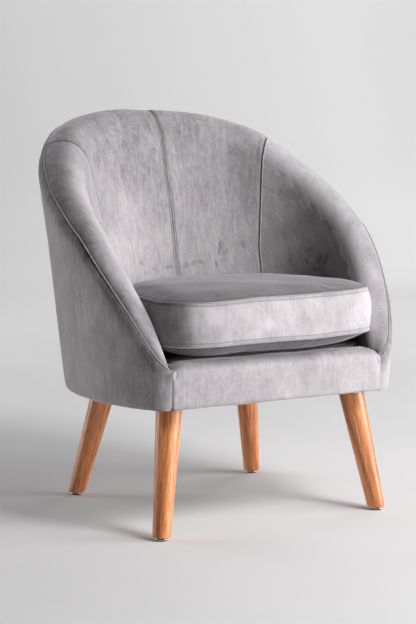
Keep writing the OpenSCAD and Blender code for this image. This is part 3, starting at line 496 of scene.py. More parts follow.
# Wall of the tub: the surface that the foam and all the covers follow. Its plan is a rounded square that
# ends at the front face, it leans outwards, and its crest falls from the back to the tips of the arms.
BACK_HEIGHT, BODY_Z, TIP_Z, SEAT_Z = 0.770, 0.236, 0.309, 0.437
MIDDLE_Y = 0.08744
OUTER_HALF_WIDTH, OUTER_BACK, FRONT_DEPTH = 0.2985, 0.299, 0.196
FRONT_REACH_SHARE = 1.566
ARM_LEAN, BACK_LEAN, INSIDE_ARM_LEAN, INSIDE_BACK_LEAN = 5.5, 10.2, 7.2, 19.4
INNER_HALF_WIDTH, INNER_BACK, INNER_FORWARD = 0.24495, 0.205, 0.024
OUTER_ROUND, INNER_ROUND = 0.877, 0.909
CORNER_Y, CORNER_SOFT = -0.194, 0.010
TIP_INNER_X, TIP_INNER_Y = 0.21895, -0.169
ROLL_BACK, ROLL_ARM, ROLL_TIP = 0.040, 0.032, 0.008
WALL_FOOT_Z = 0.2983
TIP_ANGLE, SEAM_ANGLE = 133.5, 42.0
CREST = np.array([(0, 1), (20, 0.982), (40, 0.92), (55, 0.826), (70, 0.707), (85, 0.577), (100, 0.401),
                  (113, 0.238), (124, 0.085), (TIP_ANGLE, 0)])
SEAM_DRIFT = np.array([(0, 8), (1, 9), (1.5, 8), (2, 4), (2.5, -1), (3, 0)], float)
SEAMS_ASKEW = np.array([(1, 0, 0), (1.5, 2.4, -1.8), (2, 2.0, -1.6), (2.3, 1.3, -1.2), (2.6, -0.3, -1.0),
                        (3, -0.6, -0.6)])
TIP_TURN, TIP_TURN_FROM = 1.5, 118.0
SHOULDER = 0.017


def crest_z(angle):
    x, y = CREST[:, 0], CREST[:, 1]
    slope = np.concatenate([[0], (y[2:] - y[:-2]) / (x[2:] - x[:-2]), [(y[-1] - y[-2]) / (x[-1] - x[-2])]])
    a = np.minimum(np.abs(angle), TIP_ANGLE)
    k = np.clip(np.searchsorted(x, a, side="right") - 1, 0, len(x) - 2)
    w = x[k + 1] - x[k]
    s = (a - x[k]) / w
    share = (2 * s**3 - 3 * s**2 + 1) * y[k] + (s**3 - 2 * s**2 + s) * w * slope[k]
    share += (3 * s**2 - 2 * s**3) * y[k + 1] + (s**3 - s**2) * w * slope[k + 1]
    return TIP_Z + (BACK_HEIGHT - TIP_Z) * share


def roll_height(angle):
    side = np.minimum(1, np.abs(angle) / 90)
    return np.minimum(ROLL_BACK + (ROLL_ARM - ROLL_BACK) * side, (crest_z(angle) - TIP_Z) * 0.9 + ROLL_TIP)


def rounded(x, power):
    return np.sign(x) * np.abs(x) ** power


def lean(degrees):
    return math.tan(math.radians(degrees))


def outside(angle, z):
    turn = np.radians(angle)
    a = OUTER_HALF_WIDTH + lean(ARM_LEAN) * (z - BODY_Z)
    b = np.where(np.cos(turn) > 0, OUTER_BACK + lean(BACK_LEAN) * (z - BODY_Z), FRONT_DEPTH * FRONT_REACH_SHARE)
    y = b * rounded(np.cos(turn), OUTER_ROUND)
    y = CORNER_Y + CORNER_SOFT * np.log1p(np.exp((y - CORNER_Y) / CORNER_SOFT))
    return np.stack([a * rounded(np.sin(turn), OUTER_ROUND), y], -1)


def inside(angle, z):
    turn = np.radians(angle)
    a = INNER_HALF_WIDTH + lean(INSIDE_ARM_LEAN) * (z - SEAT_Z)
    b = INNER_BACK + lean(INSIDE_BACK_LEAN) * (z - SEAT_Z)
    s = np.clip(-outside(angle, z)[..., 1] / -CORNER_Y, 0, 1)
    back = np.abs(angle) <= 90
    x = np.where(back, a * rounded(np.sin(turn), INNER_ROUND), np.sign(angle) * (a + (TIP_INNER_X - a) * s**3))
    y = np.where(back, b * rounded(np.cos(turn), INNER_ROUND) - INNER_FORWARD,
                 -INNER_FORWARD + (TIP_INNER_Y + INNER_FORWARD) * s)
    return np.stack([x, y], -1)


def wall_points(angles, places, depth=0.0):
    """Points of the wall at each plan angle and place (0 underside, 1 to 2 over the roll, 3 foot of the inside),
    depth under the skin."""
    around, place = np.meshgrid(np.asarray(angles, float), np.asarray(places, float), indexing="ij")
    drift = np.interp(place, SEAM_DRIFT[:, 0], SEAM_DRIFT[:, 1]) * np.sin(np.radians(2 * around))
    for column, seam in ((1, 0.0), (2, SEAM_ANGLE)):
        beside = np.clip(1 - np.abs(around - seam) / SEAM_ANGLE, 0, 1)
        drift = drift + np.interp(place, SEAMS_ASKEW[:, 0], SEAMS_ASKEW[:, column]) * beside
    near_tip = np.clip((np.abs(around) - TIP_TURN_FROM) / (TIP_ANGLE - TIP_TURN_FROM), 0, 1) ** 2
    upright = TIP_TURN * near_tip * np.interp(place, [0, 1, 1.25, 2], [0, 1, 1, 0]) * np.sign(around)
    angle = around + np.where(np.abs(around) < 90, drift, upright)
    rise = roll_height(angle)
    rim_z = crest_z(angle) - rise
    foot_z = np.minimum(WALL_FOOT_Z, rim_z - 0.0003)
    over = np.radians(np.clip((place - 1) * 180, 0, 180))
    shoulder = SHOULDER * np.clip((TIP_ANGLE - np.abs(around)) / 40, 0, 1) ** 1.5
    sag = np.where(place > 1.5, shoulder * (1 - np.sin(over)), 0)
    inner_top = rim_z - shoulder
    z = np.where(place <= 1, BODY_Z + (rim_z - BODY_Z) * place,
                 np.where(place < 2, rim_z - sag + rise * np.sin(over), inner_top + (foot_z - inner_top) * (place - 2)))
    outer, inner = outside(angle, z), inside(angle, z)
    half = np.linalg.norm(outer - inner, axis=-1) / 2
    left = 1 - np.minimum(depth, 0.8 * half) / half
    flat = (outer + inner) / 2 + (outer - inner) / 2 * (left * np.cos(over))[..., None]
    z = np.where((place > 1) & (place < 2), rim_z - sag + rise * left * np.sin(over), z)
    return np.stack([flat[..., 0], flat[..., 1] - MIDDLE_Y, z], -1)


def under_base(angles, z, depths):
    """Points so far in from the foot of the outside, level under the base."""
    rows = []
    for depth in depths:
        outer, inner = outside(np.asarray(angles, float), z), inside(np.asarray(angles, float), z)
        reach = np.linalg.norm(inner - outer, axis=-1, keepdims=True)
        flat = outer + (inner - outer) / reach * np.minimum(depth, 0.7 * reach)
        rows.append(np.concatenate([flat - [0, MIDDLE_Y], np.full((len(flat), 1), z)], axis=1))
    return np.stack(rows, 1)


# Foam of the wall: cream polyurethane sheets glued over the boards and round the top rails, one on the back
# and one on each arm, with a strip of the same foam in front of the seat.
BACK_FOAM, ARM_FOAM, COVER_ROOM, BOARD_ROOM = 0.046, 0.025, 0.0052, 0.001


def foam_stuff():
    material, tree, shader = new_material("cut_foam", 0.92)
    wear, place = worn(tree, 18.0)
    cells = add_node(tree, "ShaderNodeTexVoronoi", {"Vector": place, "Scale": 520.0}).outputs["Distance"]
    tone = ramp_node(tree, wear["Smudge"], [(0.3, (0.66, 0.58, 0.36)), (0.7, (0.80, 0.73, 0.50))])
    pits = ramp_node(tree, cells, [(0.0, (0.78, 0.74, 0.66)), (0.35, 1.0)])
    feed(tree, shader, {"Base Color": mix_colours(tree, 0.6, tone, pits, "MULTIPLY")})
    bump_into(tree, shader, cells, 0.4, 0.0008)
    return material


def settle_foam(foam, node):
    sharpen(foam, 50)
    settle(foam, "chair", "foam", node)


def foam_wall(name, node, first, last, count):
    angles = np.linspace(first, last, count)
    places = np.concatenate([np.linspace(0.88, 1, 5)[:-1], np.linspace(1, 2, 25)[:-1], np.linspace(2, 2.97, 24)])
    skin = wall_points(angles, places, COVER_ROOM)
    thick = BACK_FOAM + (ARM_FOAM - BACK_FOAM) * np.minimum(1, np.abs(angles) / 80)
    under = np.stack([wall_points([a], places, COVER_ROOM - BOARD_ROOM + t)[0] for a, t in zip(angles, thick)])
    points = np.concatenate([skin.reshape(-1, 3), under.reshape(-1, 3)])
    settle_foam(new_piece(name, points, shell_faces(*skin.shape[:2]).tolist(), cream_foam), node)


cream_foam = foam_stuff()
foam_wall("foam_sheet_back", "back_foam", -41.8, 41.8, 49)
foam_wall("foam_sheet_arm_left", "arm_foam_left", -132.5, -42.2, 52)
foam_wall("foam_sheet_arm_right", "arm_foam_right", 42.2, 132.5, 52)


# Covers of the wall: grey short-pile velvet, cut in panels and sewn. Inside are two back panels, joined in a
# double-topstitched centre seam, and two arm panels; outside are one back and two arm panels, stapled
# under the base. Inside and outside meet at the piping along the crest.
# Light and shade are painted into the velvet's colour: a tone for each piece, painted shade along the seams and in the
# creases, and painted light and shade over each panel.
VELVET_THICKNESS = 0.0013
PIPING_PLACE = 1.25
PIPING_RADIUS = 0.0013


def make_nap_group():
    tree, given, end = group_tree("velvet_nap_and_painted_light", {"Vector": None, "Streaks": 1.0, "Patches": 1.0, "Painted Light And Shade": 0.0},
                                  ["Tone", "Pile", "Roughness"])

    def total(first, *others):
        for other in others:
            first = math_node(tree, "ADD", first, other)
        return first

    def centred(socket, amount):
        return math_node(tree, "MULTIPLY", math_node(tree, "SUBTRACT", socket, 0.5), amount)

    place = given["Vector"]
    drawn = scaled_vector(tree, place, (1.0, 0.25, 1.0))
    streak = noise_node(tree, drawn, 130.0, 3.0, 0.62, 0.5)
    broad = noise_node(tree, drawn, 38.0, 2.0, 0.50, 0.5)
    patch = noise_node(tree, place, 15.0, 3.0, 0.55, 0.8)
    crush = noise_node(tree, place, 85.0, 4.0, 0.66, 1.0)
    pile = noise_node(tree, place, 1500.0, 2.0, 0.60)
    streaks = math_node(tree, "MULTIPLY", total(centred(streak, 0.90), centred(broad, 0.42)), given["Streaks"])
    patches = math_node(tree, "MULTIPLY", total(centred(patch, 0.36), centred(crush, 0.66)), given["Patches"])
    # The tone adds the painted light and shade, given point by point, to the random streaks and patches of the nap.
    feed(tree, end, {
        "Tone": total(streaks, patches, 0.5, centred(pile, 0.14), given["Painted Light And Shade"]),
        "Pile": total(crush, math_node(tree, "MULTIPLY", streak, 0.8), math_node(tree, "MULTIPLY", pile, 0.14)),
        "Roughness": math_node(tree, "ADD", math_node(tree, "MULTIPLY", patch, 0.2), 0.68)})
    return tree


VELVET_NAP = make_nap_group()
VELVET_MID = np.array([0.277, 0.260, 0.269])
SEAM_DARKNESS = 0.62


def velvet(name, tone, streaks, patches, sheen=0.55):
    """Velvet with painted light and shade: tone is painted light and shade for the whole piece against the mean,
    streaks say how much it is combed.
    """
    material, tree, shader = new_material(name, 0.85)
    nap = place_group(tree, VELVET_NAP, {"Vector": mark_on(tree, "nap_place", "Vector"), "Streaks": streaks,
                                         "Patches": patches, "Painted Light And Shade": mark_on(tree, "painted_light_and_shade")})
    brushed = math_node(tree, "MAXIMUM", math_node(tree, "ADD", nap["Tone"], 0.5), 0.3)
    # Painted shade near the seams and in the creases darkens the colour.
    shade = math_node(tree, "SUBTRACT", 1.0, math_node(tree, "MULTIPLY", mark_on(tree, "painted_seam_and_crease_shade"), SEAM_DARKNESS))
    shade = math_node(tree, "MULTIPLY", brushed, shade)
    grey = add_node(tree, "ShaderNodeCombineColor", {0: shade, 1: shade, 2: shade})
    colour = mix_colours(tree, 1.0, tuple(VELVET_MID * tone), grey.outputs[0], "MULTIPLY")
    feed(tree, shader, {"Base Color": colour, "Roughness": nap["Roughness"], "Specular IOR Level": 0.3,
                        "Sheen Weight": sheen, "Sheen Roughness": 0.42, "Sheen Tint": (0.95, 0.94, 0.97)})
    bump_into(tree, shader, nap["Pile"], 0.45, 0.0016)
    return material


# Each wall panel's tone is painted light, set a little apart from panel to panel.
wall_velvet = {
    "inside_back": velvet("grey_velvet_inside_back", 1.15, 1.1, 1.1),
    "inside_arm": velvet("grey_velvet_inside_arm", 1.14, 0.3, 1.25),
    "outside": velvet("grey_velvet_outside", 1.10, 0.8, 1.1),
    "outside_arm": velvet("grey_velvet_outside_arm", 1.12, 0.8, 0.9),
}


def soft_noise(points, size, seed, stretch=(1, 1, 1), waves=14):
    """A smooth field from -1 to 1 about: waves of one size in directions drawn once from the seed."""
    draw = np.random.default_rng(seed)
    directions = draw.normal(size=(waves, 3))
    directions /= np.linalg.norm(directions, axis=1, keepdims=True)
    directions *= draw.uniform(0.7, 1.4, (waves, 1)) * 2 * math.pi / size
    phases = draw.uniform(0, 2 * math.pi, waves)
    scaled = points * np.array(stretch)
    return np.sin(scaled @ directions.T + phases).sum(-1) / math.sqrt(waves)


def dip(distance, width):
    return np.exp(-(distance / width) ** 2)


def crease(points, start, end, width, depth):
    """A fold between two points near the skin: deepest in the middle of its run, nothing past its ends."""
    start, end = np.array(start), np.array(end)
    run = end - start
    t = ((points - start) @ run) / (run @ run)
    away = np.linalg.norm(points - (start + np.clip(t, 0, 1)[..., None] * run), axis=-1)
    fade = np.clip(1 - np.abs(2 * t - 1) ** 3, 0, 1) * ((t > 0) & (t < 1))
    return depth * dip(away, width) * fade


def wall_spot(angle, place):
    return wall_points([angle], [place])[0, 0]


def panel(angles, places, seams, seed, hem=None, creases=()):
    """Skin of one cover panel, drawn in at its seams and slightly uneven, and its painted shade: how near each point is
    to a seam, and along its creases.
    """
    skin = wall_points(angles, places)
    if hem is not None:
        skin = np.concatenate([hem, skin], axis=1)
    out = normals_of(skin)
    around, along = run_lengths(skin, 0), run_lengths(skin, 1)
    edges = {"first": around, "last": around[-1:] - around, "low": along, "high": along[:, -1:] - along}
    drop = np.zeros(skin.shape[:2])
    near = np.zeros(skin.shape[:2])
    for side, depth, width, dark in seams:
        away = edges[side]
        drop += depth * dip(away, width)
        pull = soft_noise(skin, 0.021, seed + 5) * dip(away, 0.014) * (1 - dip(away, 0.003))
        drop += pull * PULL_DEPTH
        # painted shade along the seam, as dark as the seam's share
        near = np.maximum(near, dip(away, SEAM_SHADE_WIDTH) * dark)
    swell = soft_noise(skin, 0.17, seed, (1, 1, 0.6)) * 0.0008
    folds = soft_noise(skin, 0.030, seed + 2, (1, 1, 0.22)) * FOLD_DEPTH
    drop -= swell + folds * (1 - dip(edges["low"], 0.05))
    for first, last, width, depth in creases:
        fold = crease(skin, wall_spot(*first), wall_spot(*last), width, 1.0)
        drop += fold * depth
        # painted shade in the crease, darker where it is deeper
        near = np.maximum(near, fold * min(1, depth * CREASE_SHADE))
    return skin, out, drop, near, edges


def turned_in(skin, near, lean, sides, depths=((0.0004, 0.0012), (0.0009, 0.0036))):
    """The panel with its sewn edges turned in, so that no seam can be seen through: (reach, depth) for each row."""
    out = normals_of(skin)
    near = np.stack([near, lean], -1)
    for side in sides:
        axis, end = (0, 0) if side == "first" else (0, -1) if side == "last" else (1, 0) if side == "low" else (1, -1)
        edge, inner = np.take(skin, end, axis), np.take(skin, 1 if end == 0 else -2, axis)
        past = edge - inner
        past /= np.linalg.norm(past, axis=-1, keepdims=True)
        normal = np.take(out, end, axis)
        rows = [edge + past * reach - normal * depth for reach, depth in depths]
        mark = [np.take(near, end, axis)] * len(rows)
        if end == 0:
            rows, mark = rows[::-1], mark[::-1]
        block, marks = np.stack(rows, axis), np.stack(mark, axis)
        pair, pair_out, pair_near = ((block, skin), (np.stack([normal] * len(rows), axis), out), (marks, near))
        if end == -1:
            pair, pair_out, pair_near = pair[::-1], pair_out[::-1], pair_near[::-1]
        skin, out, near = (np.concatenate(p, axis) for p in (pair, pair_out, pair_near))
    return skin, near[..., 0], near[..., 1]


def finish_panel(name, node, skin, near, lean, sewn):
    skin, near, lean = turned_in(skin, near, lean, sewn)
    cover = cloth_shell(name, [skin], VELVET_THICKNESS, wall_velvet[node.rsplit("_", 1)[0]], near, lean)
    settle(cover, "chair", "velvet", node)


def spaced(length, step, close_first=True, close_last=True):
    """Distances along a panel, close together at its sewn edges and about a step apart between them."""
    close = np.array(CLOSE_STEPS)
    first = close if close_first else np.array([0.0])
    last = length - (close[::-1] if close_last else np.array([0.0]))
    count = max(2, int((last[0] - first[-1]) / step))
    return np.concatenate([first, np.linspace(first[-1], last[0], count + 1)[1:-1], last])


def line_runs(line):
    return np.concatenate([[0], np.cumsum(np.linalg.norm(np.diff(line, axis=0), axis=1))])


def spaced_angles(start, end, place, step, *close):
    dense = np.linspace(start, end, 3000)
    run = line_runs(wall_points(dense, [place])[:, 0])
    return np.interp(spaced(run[-1], step, *close), run, dense)


def spaced_places(angle, start, end, step, *close):
    dense = np.linspace(start, end, 3000)
    run = line_runs(wall_points([angle], dense)[0])
    return np.interp(spaced(run[-1], step, *close), run, dense)


def mirrored_seams(seams):
    swap = {"first": "last", "last": "first"}
    return [(swap.get(side, side), *rest) for side, *rest in seams]


def line_on(skin, runs, distance, along_rows=True):
    """The line on a panel that keeps one distance from the edge its runs are counted from."""
    skin, runs = (skin, runs) if along_rows else (skin.transpose(1, 0, 2), runs.T)
    return np.array([[np.interp(distance, run if run[0] <= run[-1] else run[::-1],
                                (row if run[0] <= run[-1] else row[::-1])[:, k]) for k in range(3)]
                     for row, run in ((skin[:, j], runs[:, j]) for j in range(skin.shape[1]))])


# Painted light and shade of the inside back: darker at its top, lighter at its foot.
BACK_PAINTED_TOP, BACK_PAINTED_FOOT = -0.12, 0.26
CLOSE_STEPS = [0.0, 0.0007, 0.0015, 0.0024, 0.0033, 0.0040, 0.0047, 0.0054, 0.0062, 0.0075, 0.0095, 0.0125]
PULL_DEPTH, FOLD_DEPTH, CREASE_SHADE = 0.00035, 0.00016, 520
INSIDE_START, OUTSIDE_END = PIPING_PLACE + 0.006, PIPING_PLACE - 0.006
# A seam is (side, depth, width, share of painted shade along it).
PIPED, SIDE, TOPSTITCH_AT = ("low", 0.0007, 0.0034, 1.0), 0.0017, 0.0047
SEAM_SHADE_WIDTH, RIDGE_AT, RIDGE_WIDTH, RIDGE_HEIGHT = 0.0018, 0.0028, 0.0012, 0.0010
inside_places = spaced_places(30, INSIDE_START, 3, 0.0042, True, False)
back_turns = spaced_angles(0.03, SEAM_ANGLE - 0.05, 2.4, 0.0044)
arm_turns = spaced_angles(SEAM_ANGLE + 0.05, TIP_ANGLE, 2.3, 0.0044)
BACK_CREASES = {
    "right": [((22.8, 2.49), (20.4, 2.575), 0.0022, 0.0022), ((25.6, 2.535), (22.8, 2.575), 0.0022, 0.0013),
              ((34.3, 2.48), (33.6, 2.52), 0.0020, 0.0016), ((19.1, 2.60), (18.7, 2.63), 0.0018, 0.0018),
              ((2.2, 2.63), (5.4, 2.617), 0.0024, 0.0013), ((6.6, 2.625), (8.8, 2.598), 0.0022, 0.0017),
              ((8.5, 2.60), (13.6, 2.614), 0.0020, 0.0014), ((20.0, 2.605), (24.0, 2.585), 0.0022, 0.0009)],
    "left": [((-1.2, 2.62), (-6.4, 2.63), 0.0022, 0.0013), ((-17.2, 2.604), (-20.6, 2.586), 0.0022, 0.0015),
             ((-9.0, 2.64), (-13.9, 2.62), 0.0022, 0.0008)],
}
ARM_CREASES = {
    "right": [((73.6, 2.42), (76.6, 2.30), 0.0034, 0.0026), ((78.2, 2.38), (81.2, 2.24), 0.0032, 0.0021),
              ((67.0, 2.365), (71.0, 2.335), 0.0030, 0.0010), ((66.6, 2.44), (69.2, 2.455), 0.0028, 0.0014),
              ((72.2, 2.478), (74.8, 2.45), 0.0028, 0.0011), ((80.5, 2.23), (82.0, 2.18), 0.0024, 0.0010),
              ((52.0, 2.10), (49.4, 2.17), 0.0024, 0.0013), ((56.0, 2.16), (53.5, 2.22), 0.0022, 0.0008)],
    "left": [((-58.0, 2.52), (-66.0, 2.46), 0.0030, 0.0010), ((-73.0, 2.50), (-79.0, 2.43), 0.0026, 0.0010)],
}


# Painted light and shade of the inside arms: where the lighter painted roll ends and how much lighter it is, the
# painted shade band beside the piping, the painted light below the roll, and how much painted shade the tip and piping
# seams get.
ROLL_ENDS, ROLL_PAINTED_LIGHT = {"right": 2.06, "left": 2.04}, {"right": 0.66, "left": 0.40}
PIPED_PAINTED_SHADE, UPPER_PAINTED_LIGHT, TIP_DARK = {"right": 0.04, "left": 0.58}, 0.24, {"right": 0.25, "left": 1.0}
PIPED_DARK = {"right": 0.35, "left": 1.0}


def eased(share):
    share = np.clip(share, 0, 1)
    return share * share * (3 - 2 * share)


def inside_back(side):
    left = side < 0
    name = "left" if left else "right"
    turns = -back_turns[::-1] if left else back_turns
    seams = [("first", 0.0010, 0.0016, 0.9), ("last", SIDE, 0.0026, 1.0), PIPED]
    skin, out, drop, near, edges = panel(turns, inside_places, mirrored_seams(seams) if left else seams, 11 + left,
                                         creases=BACK_CREASES[name])
    centre = edges["last" if left else "first"]
    # The topstitched groove beside the centre seam, sunk and given painted shade.
    groove = dip(centre - TOPSTITCH_AT, 0.0010)
    drop += groove * 0.0009
    near = np.maximum(near, groove)
    skin = skin - out * drop[..., None]
    # Painted light and shade: darker at the top and lighter towards the foot, both stronger on the left half, lighter
    # on the right half, with a little random tone.
    lean = BACK_PAINTED_TOP + (BACK_PAINTED_FOOT - BACK_PAINTED_TOP) * eased((inside_places - 2.0) / 0.62)
    lean = lean[None, :] * (1 + 0.5 * eased(-turns / 30))[:, None] + soft_noise(skin, 0.11, 13 + left) * 0.06
    lean = lean + 0.17 * eased(turns / 20)[:, None]
    finish_panel(f"velvet_inside_back_{name}", f"inside_back_{name}", skin, near, lean, ("first", "last", "low"))
    return line_on(skin, centre, TOPSTITCH_AT)


def inside_arm(side):
    left = side < 0
    name = "left" if left else "right"
    turns = -arm_turns[::-1] if left else arm_turns
    seams = [("first", SIDE, 0.0026, 1.0), ("last", 0.0012, 0.0024, TIP_DARK[name]), (*PIPED[:3], PIPED_DARK[name])]
    skin, out, drop, near, edges = panel(turns, inside_places, mirrored_seams(seams) if left else seams, 21 + left,
                                         creases=ARM_CREASES[name])
    # A ridge raised beside the seam to the back panel, which the lines below also paint as a highlight.
    ridge = dip(edges["last" if left else "first"] - RIDGE_AT, RIDGE_WIDTH)
    skin = skin - out * (drop - ridge * RIDGE_HEIGHT)[..., None]
    # Painted light and shade: the roll painted lighter up to a ragged edge, a painted shade band beside the piping, on
    # the right arm the low inside painted darker except towards the tip and the part below the roll lighter near the
    # back and darker towards the tip, a little random tone, and a painted highlight on the ridge.
    place, around = inside_places[None, :], np.abs(turns)[:, None]
    ragged = soft_noise(skin, 0.020, 24 + left) * 0.03 + soft_noise(skin, 0.009, 25) * 0.02
    ends = ROLL_ENDS[name] + (0.0 if left else 0.08) * eased((around - 78) / 20)
    rolled = eased((ends + ragged - place) / 0.07)
    started = eased((around - 50) / 12) if left else 1.0
    lean = rolled * ROLL_PAINTED_LIGHT[name] * eased((place - 1.42) / 0.4) * started
    lean = lean - PIPED_PAINTED_SHADE[name] * dip(edges["low"], 0.028 - 0.016 * eased((around - 60) / 50))
    lean = lean - (0.0 if left else 0.24) * eased((place - 2.2) / 0.35) * (1 - eased((around - 84) / 14))
    lean = lean + (1 - rolled) * (UPPER_PAINTED_LIGHT - (UPPER_PAINTED_LIGHT + 0.16) * eased((around - 46) / 26)) * (not left)
    lean = lean + soft_noise(skin, 0.05, 23 + left) * 0.08 + ridge * 1.1
    finish_panel(f"velvet_inside_arm_{name}", f"inside_arm_{name}", skin, near, lean, ("first", "last", "low"))
    topstitch = line_on(skin, edges["low"], 0.006, along_rows=False)
    end = np.abs(turns) > 117
    return topstitch[end]


stitch_lines = []
for side in (-1, 1):
    stitch_lines += [inside_back(side), inside_arm(side)]

HEM_DEPTHS = [0.025, 0.018, 0.011, 0.006, 0.003]
BOTTOM_ROUND = 0.0035


def outside_panel(name, node, turns, seams, seed):
    hem = under_base(turns, BODY_Z + 0.0001, HEM_DEPTHS)
    places = np.concatenate([[0.006], spaced_places(60, 0.02, OUTSIDE_END, 0.0048, False, True)])
    skin, out, drop, near, edges = panel(turns, places, seams, seed, hem=hem)
    low_edge = np.abs(edges["low"] - edges["low"][:, len(HEM_DEPTHS):len(HEM_DEPTHS) + 1])
    drop += BOTTOM_ROUND * 0.35 * dip(low_edge, 0.0045)
    drop += soft_noise(skin, 0.035, seed + 7) * 0.0004 * dip(low_edge, 0.012)
    # Painted light and shade: a little random tone, a painted shade band under the piping, and the right arm's tip
    # painted lighter.
    lean = soft_noise(skin, 0.07, seed + 3) * 0.08 - 0.54 * dip(edges["high"], 0.036)
    lean = lean + 0.35 * eased((turns - 116) / 12)[:, None]
    finish_panel(name, node, skin - out * drop[..., None], near, lean, ("first", "last", "high"))


# The outside seams' depths, and the piped seam as (side, depth, width, share of painted shade).
OUTSIDE_SEAM, PIPED_TOP, TIP_SEAM = 0.0014, ("high", 0.0007, 0.0034, 1.0), 0.0012
outside_panel("velvet_outside_back", "outside_back", spaced_angles(-SEAM_ANGLE + 0.05, SEAM_ANGLE - 0.05, 0.6, 0.005),
              [("first", OUTSIDE_SEAM, 0.0026, 1.0), ("last", OUTSIDE_SEAM, 0.0026, 1.0), PIPED_TOP], 31)
outer_turns = spaced_angles(SEAM_ANGLE + 0.05, TIP_ANGLE, 0.6, 0.005)
arm_seams = [("first", OUTSIDE_SEAM, 0.0026, 1.0), ("last", TIP_SEAM * 0.4, 0.0024, TIP_DARK["right"]), PIPED_TOP]
outside_panel("velvet_outside_arm_right", "outside_arm_right", outer_turns, arm_seams, 41)
arm_seams[1] = ("last", TIP_SEAM, 0.0024, TIP_DARK["left"])
outside_panel("velvet_outside_arm_left", "outside_arm_left", -outer_turns[::-1], mirrored_seams(arm_seams), 42)


# Piping: a cord wrapped in a bias strip of the same velvet, sewn in between inside and outside covers in
# one length along both arms and the crest.
# The bias strip's tone is painted light, like the inside panels.
piping_velvet = velvet("grey_velvet_bias", 1.15, 0.6, 0.6, 0.7)


def tube(name, path, radius, material, sides=14, closed=False):
    path = np.asarray(path, float)
    before, after = np.roll(path, 1, axis=0), np.roll(path, -1, axis=0)
    if not closed:
        before[0], after[-1] = path[0], path[-1]
    along = after - before
    along /= np.linalg.norm(along, axis=1, keepdims=True)
    across = np.cross([0.0, 0.0, 1.0], along)
    across /= np.linalg.norm(across, axis=1, keepdims=True)
    third = np.cross(along, across)
    turn = 2 * math.pi * np.arange(sides) / sides
    width = radius * (1 + 0.04 * soft_noise(path, 0.03, 7))
    ring = np.cos(turn)[None, :, None] * across[:, None] + np.sin(turn)[None, :, None] * third[:, None]
    points = (path[:, None] + ring * width[:, None, None]).reshape(-1, 3)
    n = len(path)
    faces = []
    for k in range(n if closed else n - 1):
        for s in range(sides):
            a, b = k * sides + s, k * sides + (s + 1) % sides
            c, d = ((k + 1) % n) * sides + (s + 1) % sides, ((k + 1) % n) * sides + s
            faces.append((a, b, c, d))
    if not closed:
        faces.append(tuple(range(sides - 1, -1, -1)))
        faces.append(tuple((n - 1) * sides + s for s in range(sides)))
    piece = new_piece(name, points, faces, material)
    set_floats(piece, "nap_place", np.stack([np.repeat(line_runs(path), sides), np.tile(radius * turn, n),
                                             np.zeros(n * sides)], -1))
    return piece


PIPING_SUNK = 0.0002
piping_angles = np.linspace(-TIP_ANGLE, TIP_ANGLE, 520)
piping_skin, piping_under = [wall_points(piping_angles, [PIPING_PLACE], depth)[:, 0] for depth in (0.0, 0.002)]
lift = piping_skin - piping_under
lift /= np.linalg.norm(lift, axis=1, keepdims=True)
piping = tube("velvet_crest_piping", piping_skin - lift * PIPING_SUNK, PIPING_RADIUS, piping_velvet)
settle(piping, "chair", "velvet_piping", "crest_piping")


# Topstitching: grey polyester thread, in two rows beside the centre seam and one row beside the piping at
# each arm's tip. One stitch is a short round of thread pulled into the pile.
def thread_colour():
    material, tree, shader = new_material("grey_sewing_thread", 0.55)
    wear, _ = worn(tree, 90.0)
    feed(tree, shader, {"Base Color": ramp_node(tree, wear["Smudge"], [(0.3, (0.27, 0.262, 0.27)),
                                                                       (0.7, (0.42, 0.41, 0.42))])})
    bump_into(tree, shader, wear["Speck"], 0.2, 0.0002)
    return material


def make_row_tree():
    """Small rounded bars laid end to end along the lines of a mesh: stitches, staples or zip teeth."""
    tree = bpy.data.node_groups.new("bars_along_lines", "GeometryNodeTree")
    for label, kind in (("Lines", "Geometry"), ("Pitch", "Float"), ("Bar Length", "Float"), ("Bar Width", "Float"),
                        ("Bar Height", "Float"), ("Finish", "Material")):
        tree.interface.new_socket(name=label, in_out="INPUT", socket_type="NodeSocket" + kind)
    tree.interface.new_socket(name="Bars", in_out="OUTPUT", socket_type="NodeSocketGeometry")
    given, end = tree.nodes.new("NodeGroupInput").outputs, tree.nodes.new("NodeGroupOutput")
    curve = add_node(tree, "GeometryNodeMeshToCurve", {"Mesh": given["Lines"]})
    points = add_node(tree, "GeometryNodeCurveToPoints", {"Curve": curve.outputs[0], "Length": given["Pitch"]},
                      mode="LENGTH").outputs
    ball = add_node(tree, "GeometryNodeMeshUVSphere", {"Segments": 8, "Rings": 6, "Radius": 0.5})
    size = add_node(tree, "ShaderNodeCombineXYZ", {0: given["Bar Height"], 1: given["Bar Width"],
                                                   2: given["Bar Length"]})
    bar = add_node(tree, "GeometryNodeTransform", {"Geometry": ball.outputs["Mesh"], "Scale": size.outputs[0]})
    placed = add_node(tree, "GeometryNodeInstanceOnPoints", {"Points": points["Points"], "Instance": bar.outputs[0],
                                                             "Rotation": points["Rotation"]})
    real = add_node(tree, "GeometryNodeRealizeInstances", {0: placed.outputs[0]})
    smooth = add_node(tree, "GeometryNodeSetShadeSmooth", {0: real.outputs[0]})
    finish = add_node(tree, "GeometryNodeSetMaterial", {"Geometry": smooth.outputs[0], "Material": given["Finish"]})
    feed(tree, end, {0: finish.outputs[0]})
    return tree


BAR_ROWS = make_row_tree()


STITCH_PITCH, STITCH_LENGTH, STITCH_WIDTH = 0.0042, 0.0032, 0.0009


